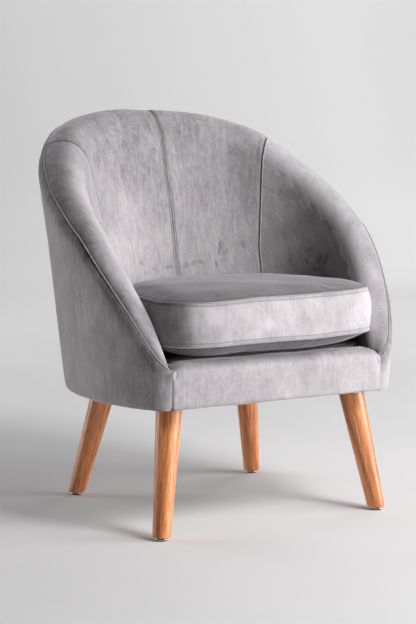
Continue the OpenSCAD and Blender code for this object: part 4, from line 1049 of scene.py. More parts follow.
def bars_along(name, lines, body, slot_name, finish, sizes, *nodes):
    """Bars of one finish along the lines; sizes are their pitch, length, width and height."""
    points, edges = [], []
    for line in lines:
        first = len(points)
        points += [tuple(p) for p in line]
        edges += [(first + k, first + k + 1) for k in range(len(line) - 1)]
    mesh = bpy.data.meshes.new(name + "_lines")
    mesh.from_pydata(points, edges, [])
    rows = bpy.data.objects.new(name + "_lines", mesh)
    bpy.context.scene.collection.objects.link(rows)
    sewing = rows.modifiers.new("Rows", "NODES")
    sewing.node_group = BAR_ROWS
    values = dict(zip(("Pitch", "Bar Length", "Bar Width", "Bar Height"), sizes), Finish=finish)
    for item in BAR_ROWS.interface.items_tree:
        if item.in_out == "INPUT" and item.name in values:
            sewing[item.identifier] = values[item.name]
    rows.update_tag()
    made = bpy.data.meshes.new_from_object(rows.evaluated_get(bpy.context.evaluated_depsgraph_get()))
    bpy.data.objects.remove(rows)
    made.name = name
    piece = bpy.data.objects.new(name, made)
    bpy.context.scene.collection.objects.link(piece)
    settle(piece, body, slot_name, *nodes)


sewing_thread = thread_colour()
STITCHES = (STITCH_PITCH, STITCH_LENGTH, STITCH_WIDTH, STITCH_WIDTH)
bars_along("topstitching_wall", stitch_lines, "chair", "velvet", sewing_thread, STITCHES)


# Soft front edge: a strip of foam over the front rail under a velvet cover that is stapled under the base,
# goes up the front face, rolls over the foam and runs down behind it to the deck.
EDGE_FRONT_Y, EDGE_TOP_Z, EDGE_RADIUS, EDGE_DEPTH = -0.2828, 0.318, 0.025, 0.0454
EDGE_HALF, EDGE_TOP_HALF, TIP_OUTER_Y = 0.2250, 0.2189, -0.2808
TUCKS = [((0.212, -0.2815, 0.306), (0.222, -0.2828, 0.284)), ((-0.214, -0.279, 0.305), (-0.222, -0.2815, 0.292))]


def edge_profile(inset, low_z, back_low_z, steps=22):
    """Side view of the front edge, from under the base up the face, over the roll and down behind."""
    radius = EDGE_RADIUS - inset
    front, top = EDGE_FRONT_Y + inset, EDGE_TOP_Z - inset
    back = EDGE_FRONT_Y + EDGE_DEPTH - inset
    small = 0.006
    line = [(front, z) for z in np.linspace(low_z, top - radius, 20)]
    line += [(front + radius - radius * math.cos(math.pi / 2 * k / steps),
              top - radius + radius * math.sin(math.pi / 2 * k / steps)) for k in range(1, steps + 1)]
    line += [(y, top) for y in np.linspace(front + radius, back - small, 8)[1:]]
    line += [(back - small + small * math.sin(math.pi / 2 * k / 6), top - small + small * math.cos(math.pi / 2 * k / 6))
             for k in range(1, 7)]
    line += [(back, z) for z in np.linspace(top - small, back_low_z, 5)[1:]]
    return np.array(line)


hem_line = np.array([(EDGE_FRONT_Y + d, BODY_Z + 0.0001) for d in HEM_DEPTHS])
profile = np.concatenate([hem_line, edge_profile(0.0, BODY_Z + 0.0025, 0.3015)])
over_tip = (profile[:, 1] > EDGE_TOP_Z - EDGE_RADIUS) | (profile[:, 0] > EDGE_FRONT_Y + 0.03)
along_tip = np.clip((profile[:, 0] - TIP_OUTER_Y) / (TIP_INNER_Y - MIDDLE_Y - TIP_OUTER_Y), 0, 1) * over_tip
half = EDGE_HALF + (EDGE_TOP_HALF - EDGE_HALF) * along_tip
across_edge = spaced(2 * EDGE_HALF, 0.0044) / EDGE_HALF - 1
edge_skin = np.zeros((len(across_edge), len(profile), 3))
edge_skin[..., 0] = across_edge[:, None] * half[None, :]
edge_skin[..., 1] = profile[None, :, 0]
edge_skin[..., 2] = profile[None, :, 1]
if normals_of(edge_skin)[len(across_edge) // 2, 20, 1] > 0:
    edge_skin = edge_skin[::-1]
edge_out = normals_of(edge_skin)
edge_around = run_lengths(edge_skin, 0)
from_ends = np.minimum(edge_around, edge_around[-1:] - edge_around)
right_end = edge_skin[..., 0] > 0
# Painted shade along both ends, where the cover meets the tips of the arms.
edge_painted_shade = dip(from_ends, SEAM_SHADE_WIDTH) * np.where(right_end, TIP_DARK["right"], TIP_DARK["left"])
edge_drop = (0.0014 * dip(from_ends, 0.0026) + 0.0016 * dip(from_ends, 0.012)) * np.where(right_end, 0.4, 1.0)
edge_drop -= soft_noise(edge_skin, 0.10, 51) * 0.0007 + soft_noise(edge_skin, 0.035, 52) * 0.0002
edge_drop += soft_noise(edge_skin, 0.018, 53) * 0.0004 * dip(from_ends, 0.012)
edge_drop += 0.0012 * dip(np.abs(edge_skin[..., 2] - BODY_Z), 0.004) * (edge_skin[..., 1] < EDGE_FRONT_Y + 0.001)
edge_drop += 0.0045 * dip(from_ends, 0.009) * np.clip((edge_skin[..., 2] - TIP_Z + 0.004) / 0.006, 0, 1)
for start, end in TUCKS:
    edge_drop += crease(edge_skin, start, end, 0.0030, 0.0012 if start[0] > 0 else 0.0028)
# Painted light and shade: a little random tone, the top of the roll painted darker where the cushion shades it, and the
# right half painted lighter.
edge_painted_light_and_shade = soft_noise(edge_skin, 0.10, 54) * 0.06 - 0.36 * eased((edge_skin[..., 2] - 0.302) / 0.012)
edge_painted_light_and_shade += 0.16 * eased(edge_skin[..., 0] / 0.2)
edge_skin, edge_painted_shade, edge_painted_light_and_shade = turned_in(edge_skin - edge_out * edge_drop[..., None], edge_painted_shade, edge_painted_light_and_shade,
                                            ("first", "last"), ((0.0006, 0.0012), (0.0016, 0.0040), (0.0028, 0.0075)))
# The front cover's velvet tone is painted light.
edge_cover = cloth_shell("velvet_front_edge", [edge_skin], VELVET_THICKNESS,
                         velvet("grey_velvet_front", 1.34, 0.5, 0.8), edge_painted_shade, edge_painted_light_and_shade)
settle(edge_cover, "chair", "velvet", "front_rail_cover")

RAIL_FRONT, RAIL_TOP, FOAM_SIDE_ROOM = EDGE_FRONT_Y + 0.0106, 0.3005, 0.014
foam_line = edge_profile(0.0055, 0.2555, RAIL_TOP)
foam_back = np.stack([np.where(foam_line[:, 1] > RAIL_TOP, np.maximum(foam_line[:, 0], RAIL_FRONT), RAIL_FRONT),
                      np.where(foam_line[:, 0] > RAIL_FRONT, RAIL_TOP, np.minimum(foam_line[:, 1], RAIL_TOP))], 1)
loop = np.concatenate([foam_line, foam_back[::-1]])
xs = np.linspace(EDGE_TOP_HALF - FOAM_SIDE_ROOM, FOAM_SIDE_ROOM - EDGE_TOP_HALF, 40)
points = [(x, y, z) for x in xs for y, z in loop]
faces = rings_of_faces(len(xs), len(loop))
faces += [tuple(range(len(loop) - 1, -1, -1)), tuple((len(xs) - 1) * len(loop) + s for s in range(len(loop)))]
settle_foam(new_piece("foam_strip_front", points, faces, cream_foam), "front_rail_foam")


# Deck: a needled felt pad on the webbing, and a black decking cloth over it, stapled round the seat. The
# loose cushion lies on it, so it shows only when the cushion is lifted out.
DECK_Z, PAD_LOW_Z, DECK_FRONT_Y, DECK_MIDDLE = 0.3238, 0.3022, -0.2370, np.array([0.0, -0.10])
deck_angles = np.linspace(-180, 180, 181)[:-1]


def deck_outline(inset):
    half = inside(np.linspace(-90, 90, 91), 0.31)
    width = half[:, 0].max() - inset
    rows = []
    for turn in np.radians(deck_angles):
        across, back = math.sin(turn), math.cos(turn)
        if back >= 0:
            depth = half[:, 1].max() + INNER_FORWARD - inset
            x, y = width * rounded(across, INNER_ROUND), depth * rounded(back, INNER_ROUND) - INNER_FORWARD - MIDDLE_Y
        else:
            x = (TIP_INNER_X - 0.001 - inset) * np.sign(across) * min(1, abs(across) ** 0.3)
            x = width * np.sign(across) * abs(across) ** 0.25 if back > -0.35 else x
            y = -INNER_FORWARD - MIDDLE_Y + (DECK_FRONT_Y + INNER_FORWARD + MIDDLE_Y) * abs(back) ** 0.25
        rows.append((float(x), float(y)))
    return np.array(rows)


def deck_layer(name, levels, material, node, slot_name):
    """Stacked outlines, closed in the middle: each level is (inset, share of the outline, height)."""
    points = []
    for inset, share, z in levels:
        points += [(x, y, z) for x, y in DECK_MIDDLE + (deck_outline(inset) - DECK_MIDDLE) * share]
    points += [(*DECK_MIDDLE, levels[0][2]), (*DECK_MIDDLE, levels[-1][2])]
    faces = [face[::-1] for face in capped_faces(len(levels), len(deck_angles))]
    piece = new_piece(name, points, faces, material)
    sharpen(piece, 45)
    return settle(piece, "chair", slot_name, node)


def decking_cloth():
    material, tree, shader = new_material("black_decking_cloth", 0.85)
    wear, place = worn(tree, 16.0)
    weave = math_node(tree, "ADD", wave_node(tree, place, 190.0, "X"), wave_node(tree, place, 190.0, "Y"))
    tone = math_node(tree, "ADD", math_node(tree, "MULTIPLY", weave, 0.3),
                     math_node(tree, "MULTIPLY", wear["Smudge"], 0.4))
    feed(tree, shader, {"Base Color": ramp_node(tree, tone, [(0.2, (0.008, 0.008, 0.009)),
                                                             (0.8, (0.028, 0.028, 0.031))])})
    bump_into(tree, shader, weave, 0.4, 0.0003)
    return material


felt = plain_surface("needled_felt", (0.085, 0.080, 0.078), (0.17, 0.165, 0.16), 0.95, 110.0, 0.0, 0.6)
felt_levels = [(0.003, 0.2, PAD_LOW_Z), (0.003, 0.9, PAD_LOW_Z), (0.003, 1.0, PAD_LOW_Z), (0.002, 1.0, DECK_Z - 0.006),
               (0.004, 0.99, DECK_Z - 0.002), (0.004, 0.9, DECK_Z - 0.0016), (0.004, 0.3, DECK_Z - 0.0016)]
deck_layer("felt_deck_pad", felt_levels, felt, "deck_pad", "felt")
cloth_levels = [(0.0015, 0.2, DECK_Z - 0.0012), (0.0015, 0.9, DECK_Z - 0.0012), (0.0015, 1.0, DECK_Z - 0.0045),
                (0.0008, 1.0, DECK_Z - 0.0040), (0.0008, 0.97, DECK_Z - 0.0004), (0.0008, 0.9, DECK_Z),
                (0.0008, 0.3, DECK_Z)]
deck = deck_layer("decking_cloth_sheet", cloth_levels, decking_cloth(), "deck_cloth", "decking_cloth")


# Dust cover: black spun cloth stapled over the open underside of the base, with a hole round each leg.
DUST_Z, DUST_INSET = 0.2352, 0.009


def dust_outline(inset):
    points = under_base(np.linspace(-TIP_ANGLE, TIP_ANGLE, 180), BODY_Z, [inset])[:, 0, :2]
    points[:, 1] = np.maximum(points[:, 1], EDGE_FRONT_Y + inset)
    return points


outline = dust_outline(DUST_INSET)
front = np.stack([np.linspace(outline[-1, 0], outline[0, 0], 60)[1:-1], np.full(58, EDGE_FRONT_Y + DUST_INSET)], 1)
outline = np.concatenate([outline, front])
dust_rings = []
for share, drop in ((1.0, -0.0002), (0.985, 0.0), (0.93, 0.0001), (0.85, 0.0), (0.7, 0.0), (0.5, 0.0), (0.3, 0.0),
                    (0.1, 0.0)):
    dust_rings.append(np.concatenate([outline * share, np.full((len(outline), 1), DUST_Z - drop)], 1))
dust_grid = np.stack(dust_rings, 1)
dust_grid = np.concatenate([dust_grid, dust_grid[:1]], 0)
dust_grid[..., 2] += soft_noise(dust_grid, 0.12, 61) * 0.0002
if normals_of(dust_grid)[40, 3, 2] > 0:
    dust_grid = dust_grid[::-1]
black_cloth = plain_surface("black_spun_cloth", (0.012, 0.012, 0.013), (0.024, 0.024, 0.026), 0.9, 150.0, 0.0, 0.5)
dust = cloth_shell("black_dust_sheet", [dust_grid], 0.0005, black_cloth)
settle(dust, "chair", "dust_cloth", "dust_cover")
STAPLE_INSET, STAPLE_Z, STAPLE_SIZES = 0.0135, DUST_Z - 0.0009, (0.027, 0.0105, 0.0013, 0.0007)
front_line = [(x, EDGE_FRONT_Y + STAPLE_INSET) for x in np.linspace(-0.205, 0.205, 30)]
staple_lines = [[(x, y, STAPLE_Z) for x, y in line] for line in (dust_outline(STAPLE_INSET), front_line)]
bars_along("dust_sheet_staples", staple_lines, "chair", "zinc_steel", zinc, STAPLE_SIZES)


# Loose cushion: a boxed velvet cover over a foam core, with welts along both seams. It is round at the
# back to fit the tub, boxy with soft corners at the front, crowned on top and below, and hangs over the edge.
CUSHION_HALF_WIDTH, CUSHION_BACK, CUSHION_FRONT = 0.22963, 0.16482, 0.189
CUSHION_ROUND, FRONT_DRAW, CUSHION_LOWEST = 0.41, 0.003, 0.3246
SEAM_LOW_Z, SEAM_TOP_Z, CROWN_TOP, CROWN_LOW = 0.3513, 0.4303, 0.0160, 0.0262
FILL_SHARE = 0.33
BORDER_BULGE, BORDER_STITCH_AT, TOP_DRAW = 0.003, 0.0065, 0.0055
CUSHION_CENTRE_Y = -INNER_FORWARD - MIDDLE_Y
HALF_CELLS = 40
RIGHT_ROUND, RIGHT_LIFT, FRONT_SAG, CORNER_SAG = 0.38, 0.0045, 0.0050, 0.0050


def cushion_edge(turn):
    """Outline of the cushion at an angle from the back, about its own middle."""
    rear = np.cos(turn) >= 0
    power = np.where(rear, 1.0, np.where(np.sin(turn) > 0, RIGHT_ROUND, CUSHION_ROUND))
    depth = np.where(rear, CUSHION_BACK, CUSHION_FRONT)
    x = CUSHION_HALF_WIDTH * rounded(np.sin(turn), power)
    y = depth * rounded(np.cos(turn), power)
    draw = np.where(rear, 0.0, FRONT_DRAW * (1 - (x / CUSHION_HALF_WIDTH) ** 2) * np.abs(np.cos(turn)) ** power)
    return np.stack([x, y + draw], -1)


fine_turns = np.linspace(0, 2 * math.pi, 4001)
fine_outline = cushion_edge(fine_turns)
fine_runs = np.concatenate([[0], np.cumsum(np.linalg.norm(np.diff(fine_outline, axis=0), axis=1))])
corner_angles = [math.radians(a) for a in (52, 180 - 47, 180 + 47, 360 - 52)]
corner_runs = np.interp(corner_angles, fine_turns, fine_runs)


def outline_at(share):
    """Point of the outline by share of a square's rim, whose corners lie near the cushion's own corners."""
    marks = np.array([0.0, 0.125, 0.375, 0.625, 0.875, 1.0])
    run = np.interp(share % 1.0, marks, np.concatenate([[0.0], corner_runs, [fine_runs[-1]]]))
    return np.stack([np.interp(run, fine_runs, fine_outline[:, k]) for k in range(2)], -1)


cell = np.arange(-HALF_CELLS, HALF_CELLS + 1)
cell_x, cell_y = np.meshgrid(cell, cell, indexing="ij")
ring_number = np.maximum(np.abs(cell_x), np.abs(cell_y))
safe = np.maximum(ring_number, 1)
sx, sy = cell_x / safe, cell_y / safe
rim_share = np.where(sy >= 1, sx / 8, np.where(sx >= 1, 0.25 - sy / 8,
                                               np.where(sy <= -1, 0.5 - sx / 8, 0.75 + sy / 8))) % 1
ring_share = ring_number / HALF_CELLS
full_outline = outline_at(rim_share)
outline_way = full_outline / np.linalg.norm(full_outline, axis=-1, keepdims=True)
flat_place = full_outline * ring_share[..., None]
top_place = (full_outline - outline_way * TOP_DRAW) * ring_share[..., None]


def rim_order():
    """Indices of the panel's outermost points, once round in the order of the outline."""
    index = np.arange(cell_x.size).reshape(cell_x.shape)
    outer = ring_number == HALF_CELLS
    order = np.argsort(rim_share[outer])
    return index[outer][order]


rim_index = rim_order()
rim_count = len(rim_index)
n_panel = cell_x.size
top_z = SEAM_TOP_Z + CROWN_TOP * (1 - ring_share**5.5)
low_z = SEAM_LOW_Z - CROWN_LOW * (1 - ring_share**5)
top_points = np.concatenate([top_place, top_z[..., None]], -1).reshape(-1, 3)
low_points = np.concatenate([flat_place, low_z[..., None]], -1).reshape(-1, 3)
BORDER_STEPS = [0.0015, 0.0031, 0.0045, 0.0056, 0.0065, 0.0074, 0.0088, 0.0115, 0.0155, 0.0205, 0.0260, 0.0325]
border_height = SEAM_TOP_Z - SEAM_LOW_Z
border_shares = np.array(BORDER_STEPS) / border_height
border_shares = np.concatenate([border_shares, [0.5], 1 - border_shares[::-1]])
BORDER_ROWS = len(border_shares) + 1
border_rows = []
for share in border_shares:
    flat = outline_at(rim_share.reshape(-1)[rim_index])
    away = flat / np.linalg.norm(flat, axis=1, keepdims=True)
    flat = flat + away * (BORDER_BULGE * math.sin(math.pi * share) - TOP_DRAW * max(0, 1 - share / 0.42) ** 2)
    z = SEAM_TOP_Z - border_height * share
    border_rows.append(np.concatenate([flat, np.full((rim_count, 1), z)], 1))
cushion_points = np.concatenate([top_points, low_points] + border_rows)
raised = np.clip((cushion_points[:, 2] - SEAM_LOW_Z) / (SEAM_TOP_Z - SEAM_LOW_Z), 0, 1)
cushion_points[:, 2] += RIGHT_LIFT * raised * eased(cushion_points[:, 0] / 0.22) * eased(-cushion_points[:, 1] / 0.15)
sagging = eased(-cushion_points[:, 1] / 0.12) * (1 - eased((cushion_points[:, 0] - 0.05) / 0.16))
cushion_points[:, 2] -= FRONT_SAG * (1 - raised) * sagging
left_corner = eased((-0.04 - cushion_points[:, 0]) / 0.14) * eased(-cushion_points[:, 1] / 0.12)
cushion_points[:, 2] -= CORNER_SAG * left_corner * (0.4 + 0.6 * raised)
cushion_points[:, 1] += CUSHION_CENTRE_Y
index = np.arange(n_panel).reshape(cell_x.shape)
top_faces = np.stack([index[:-1, :-1], index[1:, :-1], index[1:, 1:], index[:-1, 1:]], -1).reshape(-1, 4)
low_faces = top_faces[:, ::-1] + n_panel
rows = [rim_index] + [2 * n_panel + k * rim_count + np.arange(rim_count) for k in range(BORDER_ROWS - 1)] \
    + [rim_index + n_panel]
border_faces = []
for upper, lower in zip(rows[:-1], rows[1:]):
    border_faces.append(np.stack([upper, np.roll(upper, -1), np.roll(lower, -1), lower], -1))
border_faces = np.concatenate(border_faces)
cushion_faces = np.concatenate([top_faces, low_faces, border_faces])


def inflate(name, points, faces, pressure, stop, frames=20):
    """The closed cover blown up a little as cloth, with no point moved further than stop."""
    blown = new_piece(name, points, faces.tolist(), None)
    cloth = blown.modifiers.new("Fill", "CLOTH")
    settings = cloth.settings
    settings.quality = 6
    settings.mass = 0.25
    settings.tension_stiffness = settings.compression_stiffness = 18
    settings.shear_stiffness = 9
    settings.bending_stiffness = 0.35
    settings.use_pressure = True
    settings.uniform_pressure_force = pressure
    settings.effector_weights.gravity = 0
    cloth.collision_settings.use_self_collision = False
    scene = bpy.context.scene
    for step in range(1, frames + 1):
        scene.frame_set(step)
    evaluated = blown.evaluated_get(bpy.context.evaluated_depsgraph_get())
    moved = np.zeros(len(points) * 3, np.float32)
    evaluated.to_mesh().vertices.foreach_get("co", moved)
    evaluated.to_mesh_clear()
    scene.frame_set(1)
    bpy.data.objects.remove(blown)
    shift = moved.reshape(-1, 3).astype(float) - points
    far = np.linalg.norm(shift, axis=1, keepdims=True)
    return points + shift * np.minimum(1, stop / np.maximum(far, 1e-9))


CLOTH_PRESSURE, MOST_SHIFT = 4.0, 0.006
shift = inflate("cushion_blown", cushion_points, cushion_faces, CLOTH_PRESSURE, MOST_SHIFT) - cushion_points
shift *= FILL_SHARE * (1 - np.clip((cushion_points[:, 1:2] + 0.02) / 0.05, 0, 1))
cushion_points = cushion_points + shift
cushion_points[:, 2] = np.maximum(cushion_points[:, 2], CUSHION_LOWEST)

ring_flat = ring_share.reshape(-1)
rim_flat = rim_share.reshape(-1)
from_seam = (1 - ring_flat) * 0.20
draw = np.random.default_rng(71)


def gathers(around, away, count, least, most):
    """Small folds that run in from a seam, spread at random along it."""
    total = np.zeros_like(away)
    for _ in range(count):
        where, size, reach = draw.random(), draw.uniform(0.0018, 0.0042), draw.uniform(least, most)
        gap = np.abs((around - where + 0.5) % 1 - 0.5)
        total += draw.uniform(0.3, 1.0) * dip(gap, size) * dip(away, reach) * (1 - dip(away, 0.003))
    return total


for first, lift, count in ((0, -1, 60), (n_panel, 1, 50)):
    part = cushion_points[first:first + n_panel]
    part[:, 2] += lift * gathers(rim_flat, from_seam, count, 0.010, 0.028) * 0.0011
    part[:, 2] -= lift * soft_noise(part, 0.12, 72) * 0.0008 * np.minimum(1, from_seam / 0.03)
    part[:, 2] += lift * 0.0010 * dip(from_seam, 0.0035)
    cushion_points[first:first + n_panel] = part
cushion_points[:, 2] = np.maximum(cushion_points[:, 2], CUSHION_LOWEST)

# Painted shade along both welt seams and in the border's topstitch groove.
cushion_painted_shade = np.zeros(len(cushion_points))
cushion_painted_shade[:2 * n_panel] = dip(np.tile(from_seam, 2), 0.004)
rim_turn = rim_flat[rim_index]
topstitch_rows = []
for k, share in enumerate(border_shares):
    first = 2 * n_panel + k * rim_count
    row = cushion_points[first:first + rim_count]
    away = (row - [0, CUSHION_CENTRE_Y, 0]) * [1, 1, 0]
    away /= np.linalg.norm(away, axis=1, keepdims=True)
    edge = min(share, 1 - share) * border_height
    sunk = 0.0010 * dip(edge - BORDER_STITCH_AT, 0.0011) + 0.0006 * dip(edge, 0.002)
    sunk = sunk + gathers(rim_turn, np.full(rim_count, edge), 46, 0.010, 0.024) * 0.0007
    sunk = sunk + soft_noise(row, 0.030, 74, (1, 1, 0.3)) * 0.0003 * (edge > 0.009)
    cushion_points[first:first + rim_count] = row - away * sunk[:, None]
    cushion_painted_shade[first:first + rim_count] = max(dip(edge, 0.003), 0.8 * dip(edge - BORDER_STITCH_AT, 0.0011))
    if abs(edge - BORDER_STITCH_AT) < 1e-6:
        line = cushion_points[first:first + rim_count] + away * 0.0002
        topstitch_rows.append(np.concatenate([line, line[:1]]))

# The top and bottom panels' velvet is painted darker and the border's lighter: painted shade and painted light on
# copies of one velvet.
top_velvet = velvet("grey_velvet_cushion_panel", 0.57, 0.3, 0.45, 0.4)
border_velvet = velvet("grey_velvet_cushion_border", 1.40, 0.5, 0.8, 0.7)
cushion = new_piece("velvet_cushion", cushion_points, cushion_faces.tolist(), top_velvet)
cushion.data.materials.append(border_velvet)
on_border = np.zeros(len(cushion_faces), np.int32)
on_border[-len(border_faces):] = 1
cushion.data.polygons.foreach_set("material_index", on_border)
set_floats(cushion, "painted_seam_and_crease_shade", cushion_painted_shade)
nap_place = cushion_points[:, [1, 0, 2]] * [1.0, 1.0, 0.5]
for k, share in enumerate(border_shares):
    first = 2 * n_panel + k * rim_count
    nap_place[first:first + rim_count] = np.stack([rim_turn * fine_runs[-1], np.full(rim_count, share * border_height),
                                                   np.full(rim_count, 5.0)], -1)
set_floats(cushion, "nap_place", nap_place)
# Painted light and shade: the bottom panel painted darker; the border given random tone, painted a little lighter
# overall, lighter still at its right end and darker at its left end.
painted_light_and_shade = np.zeros(len(cushion_points))
painted_light_and_shade[n_panel:2 * n_panel] = -0.5
rim = cushion_points[2 * n_panel:]
painted_light_and_shade[2 * n_panel:] = soft_noise(rim, 0.05, 75) * 0.08 + 0.12 + 0.4 * eased((rim[:, 0] - 0.19) / 0.04) \
    - 0.5 * eased((-0.175 - rim[:, 0]) / 0.03)
set_floats(cushion, "painted_light_and_shade", painted_light_and_shade)
finer = cushion.modifiers.new("Smooth Cloth", "SUBSURF")
finer.levels = finer.render_levels = 1
settle(cushion, "cushion", "cushion_velvet", "cushion_core", "cushion_top_panel", "cushion_bottom_panel",
       "cushion_border")

for name, node, row in (("velvet_welt_top", "cushion_welt_top", rim_index),
                        ("velvet_welt_bottom", "cushion_welt_bottom", rim_index + n_panel)):
    seam_path = cushion_points[row]
    away = (seam_path - [0, CUSHION_CENTRE_Y, 0]) * [1, 1, 0]
    away /= np.linalg.norm(away, axis=1, keepdims=True)
    welt = tube(name, seam_path + away * PIPING_SUNK, PIPING_RADIUS, piping_velvet, 12, closed=True)
    settle(welt, "cushion", "velvet_piping", node)
bars_along("topstitching_cushion", topstitch_rows, "cushion", "velvet_piping", sewing_thread, STITCHES)


# Zip: across the back of the cushion's border, a dark woven tape with moulded teeth on the arc of the border's
# own rounding, sewn in along both edges, and a die-cast slider with its pull, which run along it.
ZIP_CENTRE_Y, ZIP_RADIUS, ZIP_Z = -0.26654, 0.32332, 0.3908
ZIP_HALF_ANGLE, TAPE_HEIGHT, TAPE_THICKNESS, TOOTH_HEIGHT, TOOTH_DEPTH = 20.0, 0.024, 0.0008, 0.005, 0.0016


def zip_arc(radius, z):
    turns = np.radians(np.linspace(-ZIP_HALF_ANGLE, ZIP_HALF_ANGLE, 121))
    return np.stack([radius * np.sin(turns), ZIP_CENTRE_Y + radius * np.cos(turns), np.full_like(turns, z)], -1)


tape_skin = np.stack([zip_arc(ZIP_RADIUS + TAPE_THICKNESS, ZIP_Z + TAPE_HEIGHT * share)
                      for share in np.linspace(-0.5, 0.5, 13)], 1)
if normals_of(tape_skin)[60, 6, 1] < 0:
    tape_skin = tape_skin[::-1]
zip_cloth = woven_cloth("woven_zip_tape", 0.85, [(320.0, "DIAGONAL")], (0.024, 0.024, 0.028), (0.056, 0.056, 0.063),
                        0.4, 0.0002)
tape = cloth_shell("zip_tape_woven", [tape_skin], TAPE_THICKNESS, zip_cloth)
settle(tape, "cushion", "zip_tape", "zip_tape")
teeth_plastic = plain_surface("zip_teeth_plastic", (0.075, 0.075, 0.082), (0.11, 0.11, 0.12), 0.42, 300.0, 0.0, 0.1)
teeth_line = zip_arc(ZIP_RADIUS + TAPE_THICKNESS + TOOTH_DEPTH / 2, ZIP_Z)
bars_along("zip_teeth_moulded", [teeth_line], "cushion", "zip_teeth", teeth_plastic,
           (0.0017, 0.0015, TOOTH_HEIGHT, TOOTH_DEPTH), "zip_teeth")
seam_lines = [zip_arc(ZIP_RADIUS + TAPE_THICKNESS, ZIP_Z + side * (TAPE_HEIGHT / 2 - 0.003)) for side in (-1, 1)]
bars_along("zip_tape_stitches", seam_lines, "cushion", "zip_tape", sewing_thread,
           (STITCH_PITCH, STITCH_LENGTH, 0.0007, 0.0007))
zip_metal = plain_surface("zip_slider_metal", (0.30, 0.31, 0.32), (0.46, 0.47, 0.48), 0.34, 200.0, 1.0, 0.05)
dress(["zip_slider", "zip_pull"], zip_metal)


# Studio: a pale seamless floor that sweeps up into the backdrop, a soft key from the front right with a
# broad low window beside it, and two weak lights behind the chair.
# Painted light on the far floor: where the sweep starts to glow towards its outer edges, over what reach, and how
# bright.
OUTER_FLOOR = [(3.3, 1.5), (-2.0, -3.0), (4.8, 2.0)]
OUTER_GLOW = 0.50


def backdrop():
    material, tree, shader = new_material("pale_studio_sweep", 0.9)
    wear, place = worn(tree, 2.2)
    x, y, z = separate(tree, place)

    def calc(operation, first, second):
        return math_node(tree, operation, first, second)

    # Painted light: the sweep glows for camera rays only, brighter to the right and further back, a little more low
    # down, along a band towards the back and towards its outer edges; near the chair this lifts the floor and the
    # chair's shadow on it.
    right = calc("MULTIPLY", calc("ADD", x, -1.0), 0.33)
    far = ramp_node(tree, calc("MULTIPLY", calc("ADD", y, 0.6), 0.19), [(0.0, 0.0), (1.0, 1.0)])
    low = calc("MAXIMUM", calc("SUBTRACT", 0.045, calc("MULTIPLY", z, 0.035)), 0.0)
    glow = calc("MULTIPLY", calc("ADD", ramp_node(tree, right, [(0.0, 0.21), (1.0, 0.54)]), low), far)
    band = ramp_node(tree, calc("MULTIPLY", y, 0.2), [(0.24, 0.0), (0.40, 0.095), (0.54, 0.19), (0.66, 0.21),
                                                      (0.74, 0.195), (0.84, 0.11), (0.90, 0.055), (1.0, 0.0)])
    glow = calc("ADD", glow, calc("MULTIPLY", band, calc("ADD", calc("MULTIPLY", right, 0.3), 0.9)))
    for run, (start, reach) in zip((calc("SUBTRACT", x, y), x, x), OUTER_FLOOR):
        beyond = calc("MULTIPLY", calc("SUBTRACT", run, start), 1 / reach)
        glow = calc("MAXIMUM", glow, ramp_node(tree, beyond, [(0.0, 0.0), (1.0, OUTER_GLOW)]))
    seen = tree.nodes.new("ShaderNodeLightPath").outputs["Is Camera Ray"]
    floor = ramp_node(tree, wear["Smudge"], [(0.3, (0.718, 0.708, 0.715)), (0.7, (0.752, 0.742, 0.749))])
    feed(tree, shader, {"Base Color": floor, "Specular IOR Level": 0.15, "Emission Color": calc("MULTIPLY", glow, seen),
                        "Emission Strength": 1.0})
    return material


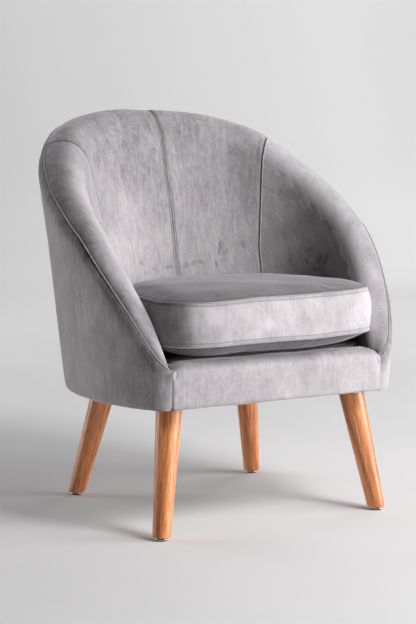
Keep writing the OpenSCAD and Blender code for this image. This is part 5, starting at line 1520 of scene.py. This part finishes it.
SWEEP_START, SWEEP_RADIUS, SWEEP_TOP, SWEEP_FRONT, SWEEP_HALF = 3.8, 1.6, 7.0, -7.0, 8.0
sweep_line = [(y, 0.0) for y in np.linspace(SWEEP_FRONT, SWEEP_START, 6)]
sweep_line += [(SWEEP_START + SWEEP_RADIUS * math.sin(math.pi / 2 * k / 24),
                SWEEP_RADIUS - SWEEP_RADIUS * math.cos(math.pi / 2 * k / 24)) for k in range(1, 25)]
sweep_line += [(SWEEP_START + SWEEP_RADIUS, z) for z in np.linspace(SWEEP_RADIUS, SWEEP_TOP, 4)[1:]]
sweep_xs = np.linspace(-SWEEP_HALF, SWEEP_HALF, 8)
points = [(x, y, z) for x in sweep_xs for y, z in sweep_line]
count = len(sweep_line)
faces = [(i * count + j, (i + 1) * count + j, (i + 1) * count + j + 1, i * count + j + 1)
         for i in range(len(sweep_xs) - 1) for j in range(count - 1)]
sweep = new_piece("studio_sweep", points, faces, backdrop())

LIGHT_TARGET = Vector((0, 0, 0.42))


def soft_light(name, azimuth, elevation, size, distance, power):
    """A square lamp turned to the chair; azimuth counts from the front (-Y) towards +X."""
    data = bpy.data.lights.new(name, "AREA")
    data.shape = "SQUARE"
    data.size = size
    data.energy = power
    lamp = bpy.data.objects.new(name, data)
    bpy.context.scene.collection.objects.link(lamp)
    a, e = math.radians(azimuth), math.radians(elevation)
    away = Vector((math.sin(a) * math.cos(e), -math.cos(a) * math.cos(e), math.sin(e)))
    lamp.location = LIGHT_TARGET + away * distance
    lamp.rotation_euler = (LIGHT_TARGET - lamp.location).to_track_quat("-Z", "Y").to_euler()


soft_light("key_softbox", 21, 42, 1.2, 3.6, 88)
soft_light("low_window", 36, 12, 2.0, 3.6, 48)
soft_light("side_window", 55, 6, 1.8, 3.6, 112)
soft_light("left_rear_fill", -135, 6, 2.0, 3.4, 60)
soft_light("right_rear_fill", 112, 22, 1.6, 3.4, 24)
world = bpy.data.worlds.new("studio_room")
bpy.context.scene.world = world
world.use_nodes = True
room = world.node_tree
room_light = room.nodes["Background"]
feed(room, room_light, {0: (0.92, 0.94, 1.0), 1: 0.015})
room_seen = add_node(room, "ShaderNodeBackground", {0: (0.60, 0.595, 0.60)})
seen = room.nodes.new("ShaderNodeLightPath").outputs["Is Camera Ray"]
room_mix = add_node(room, "ShaderNodeMixShader", {0: seen, 1: room_light.outputs[0], 2: room_seen.outputs[0]})
feed(room, room.nodes["World Output"], {0: room_mix.outputs[0]})

camera_data = bpy.data.cameras.new("camera")
camera_data.lens = 93.23
camera_data.sensor_width = 36
camera_data.clip_end = 50
camera = bpy.data.objects.new("camera", camera_data)
bpy.context.scene.collection.objects.link(camera)
camera.location = (-1.5913, -2.7332, 0.7278)
camera.rotation_euler = (math.radians(90 - 6.43), 0, math.radians(-30.38))
bpy.context.scene.camera = camera
bpy.context.scene.view_settings.view_transform = "Standard"
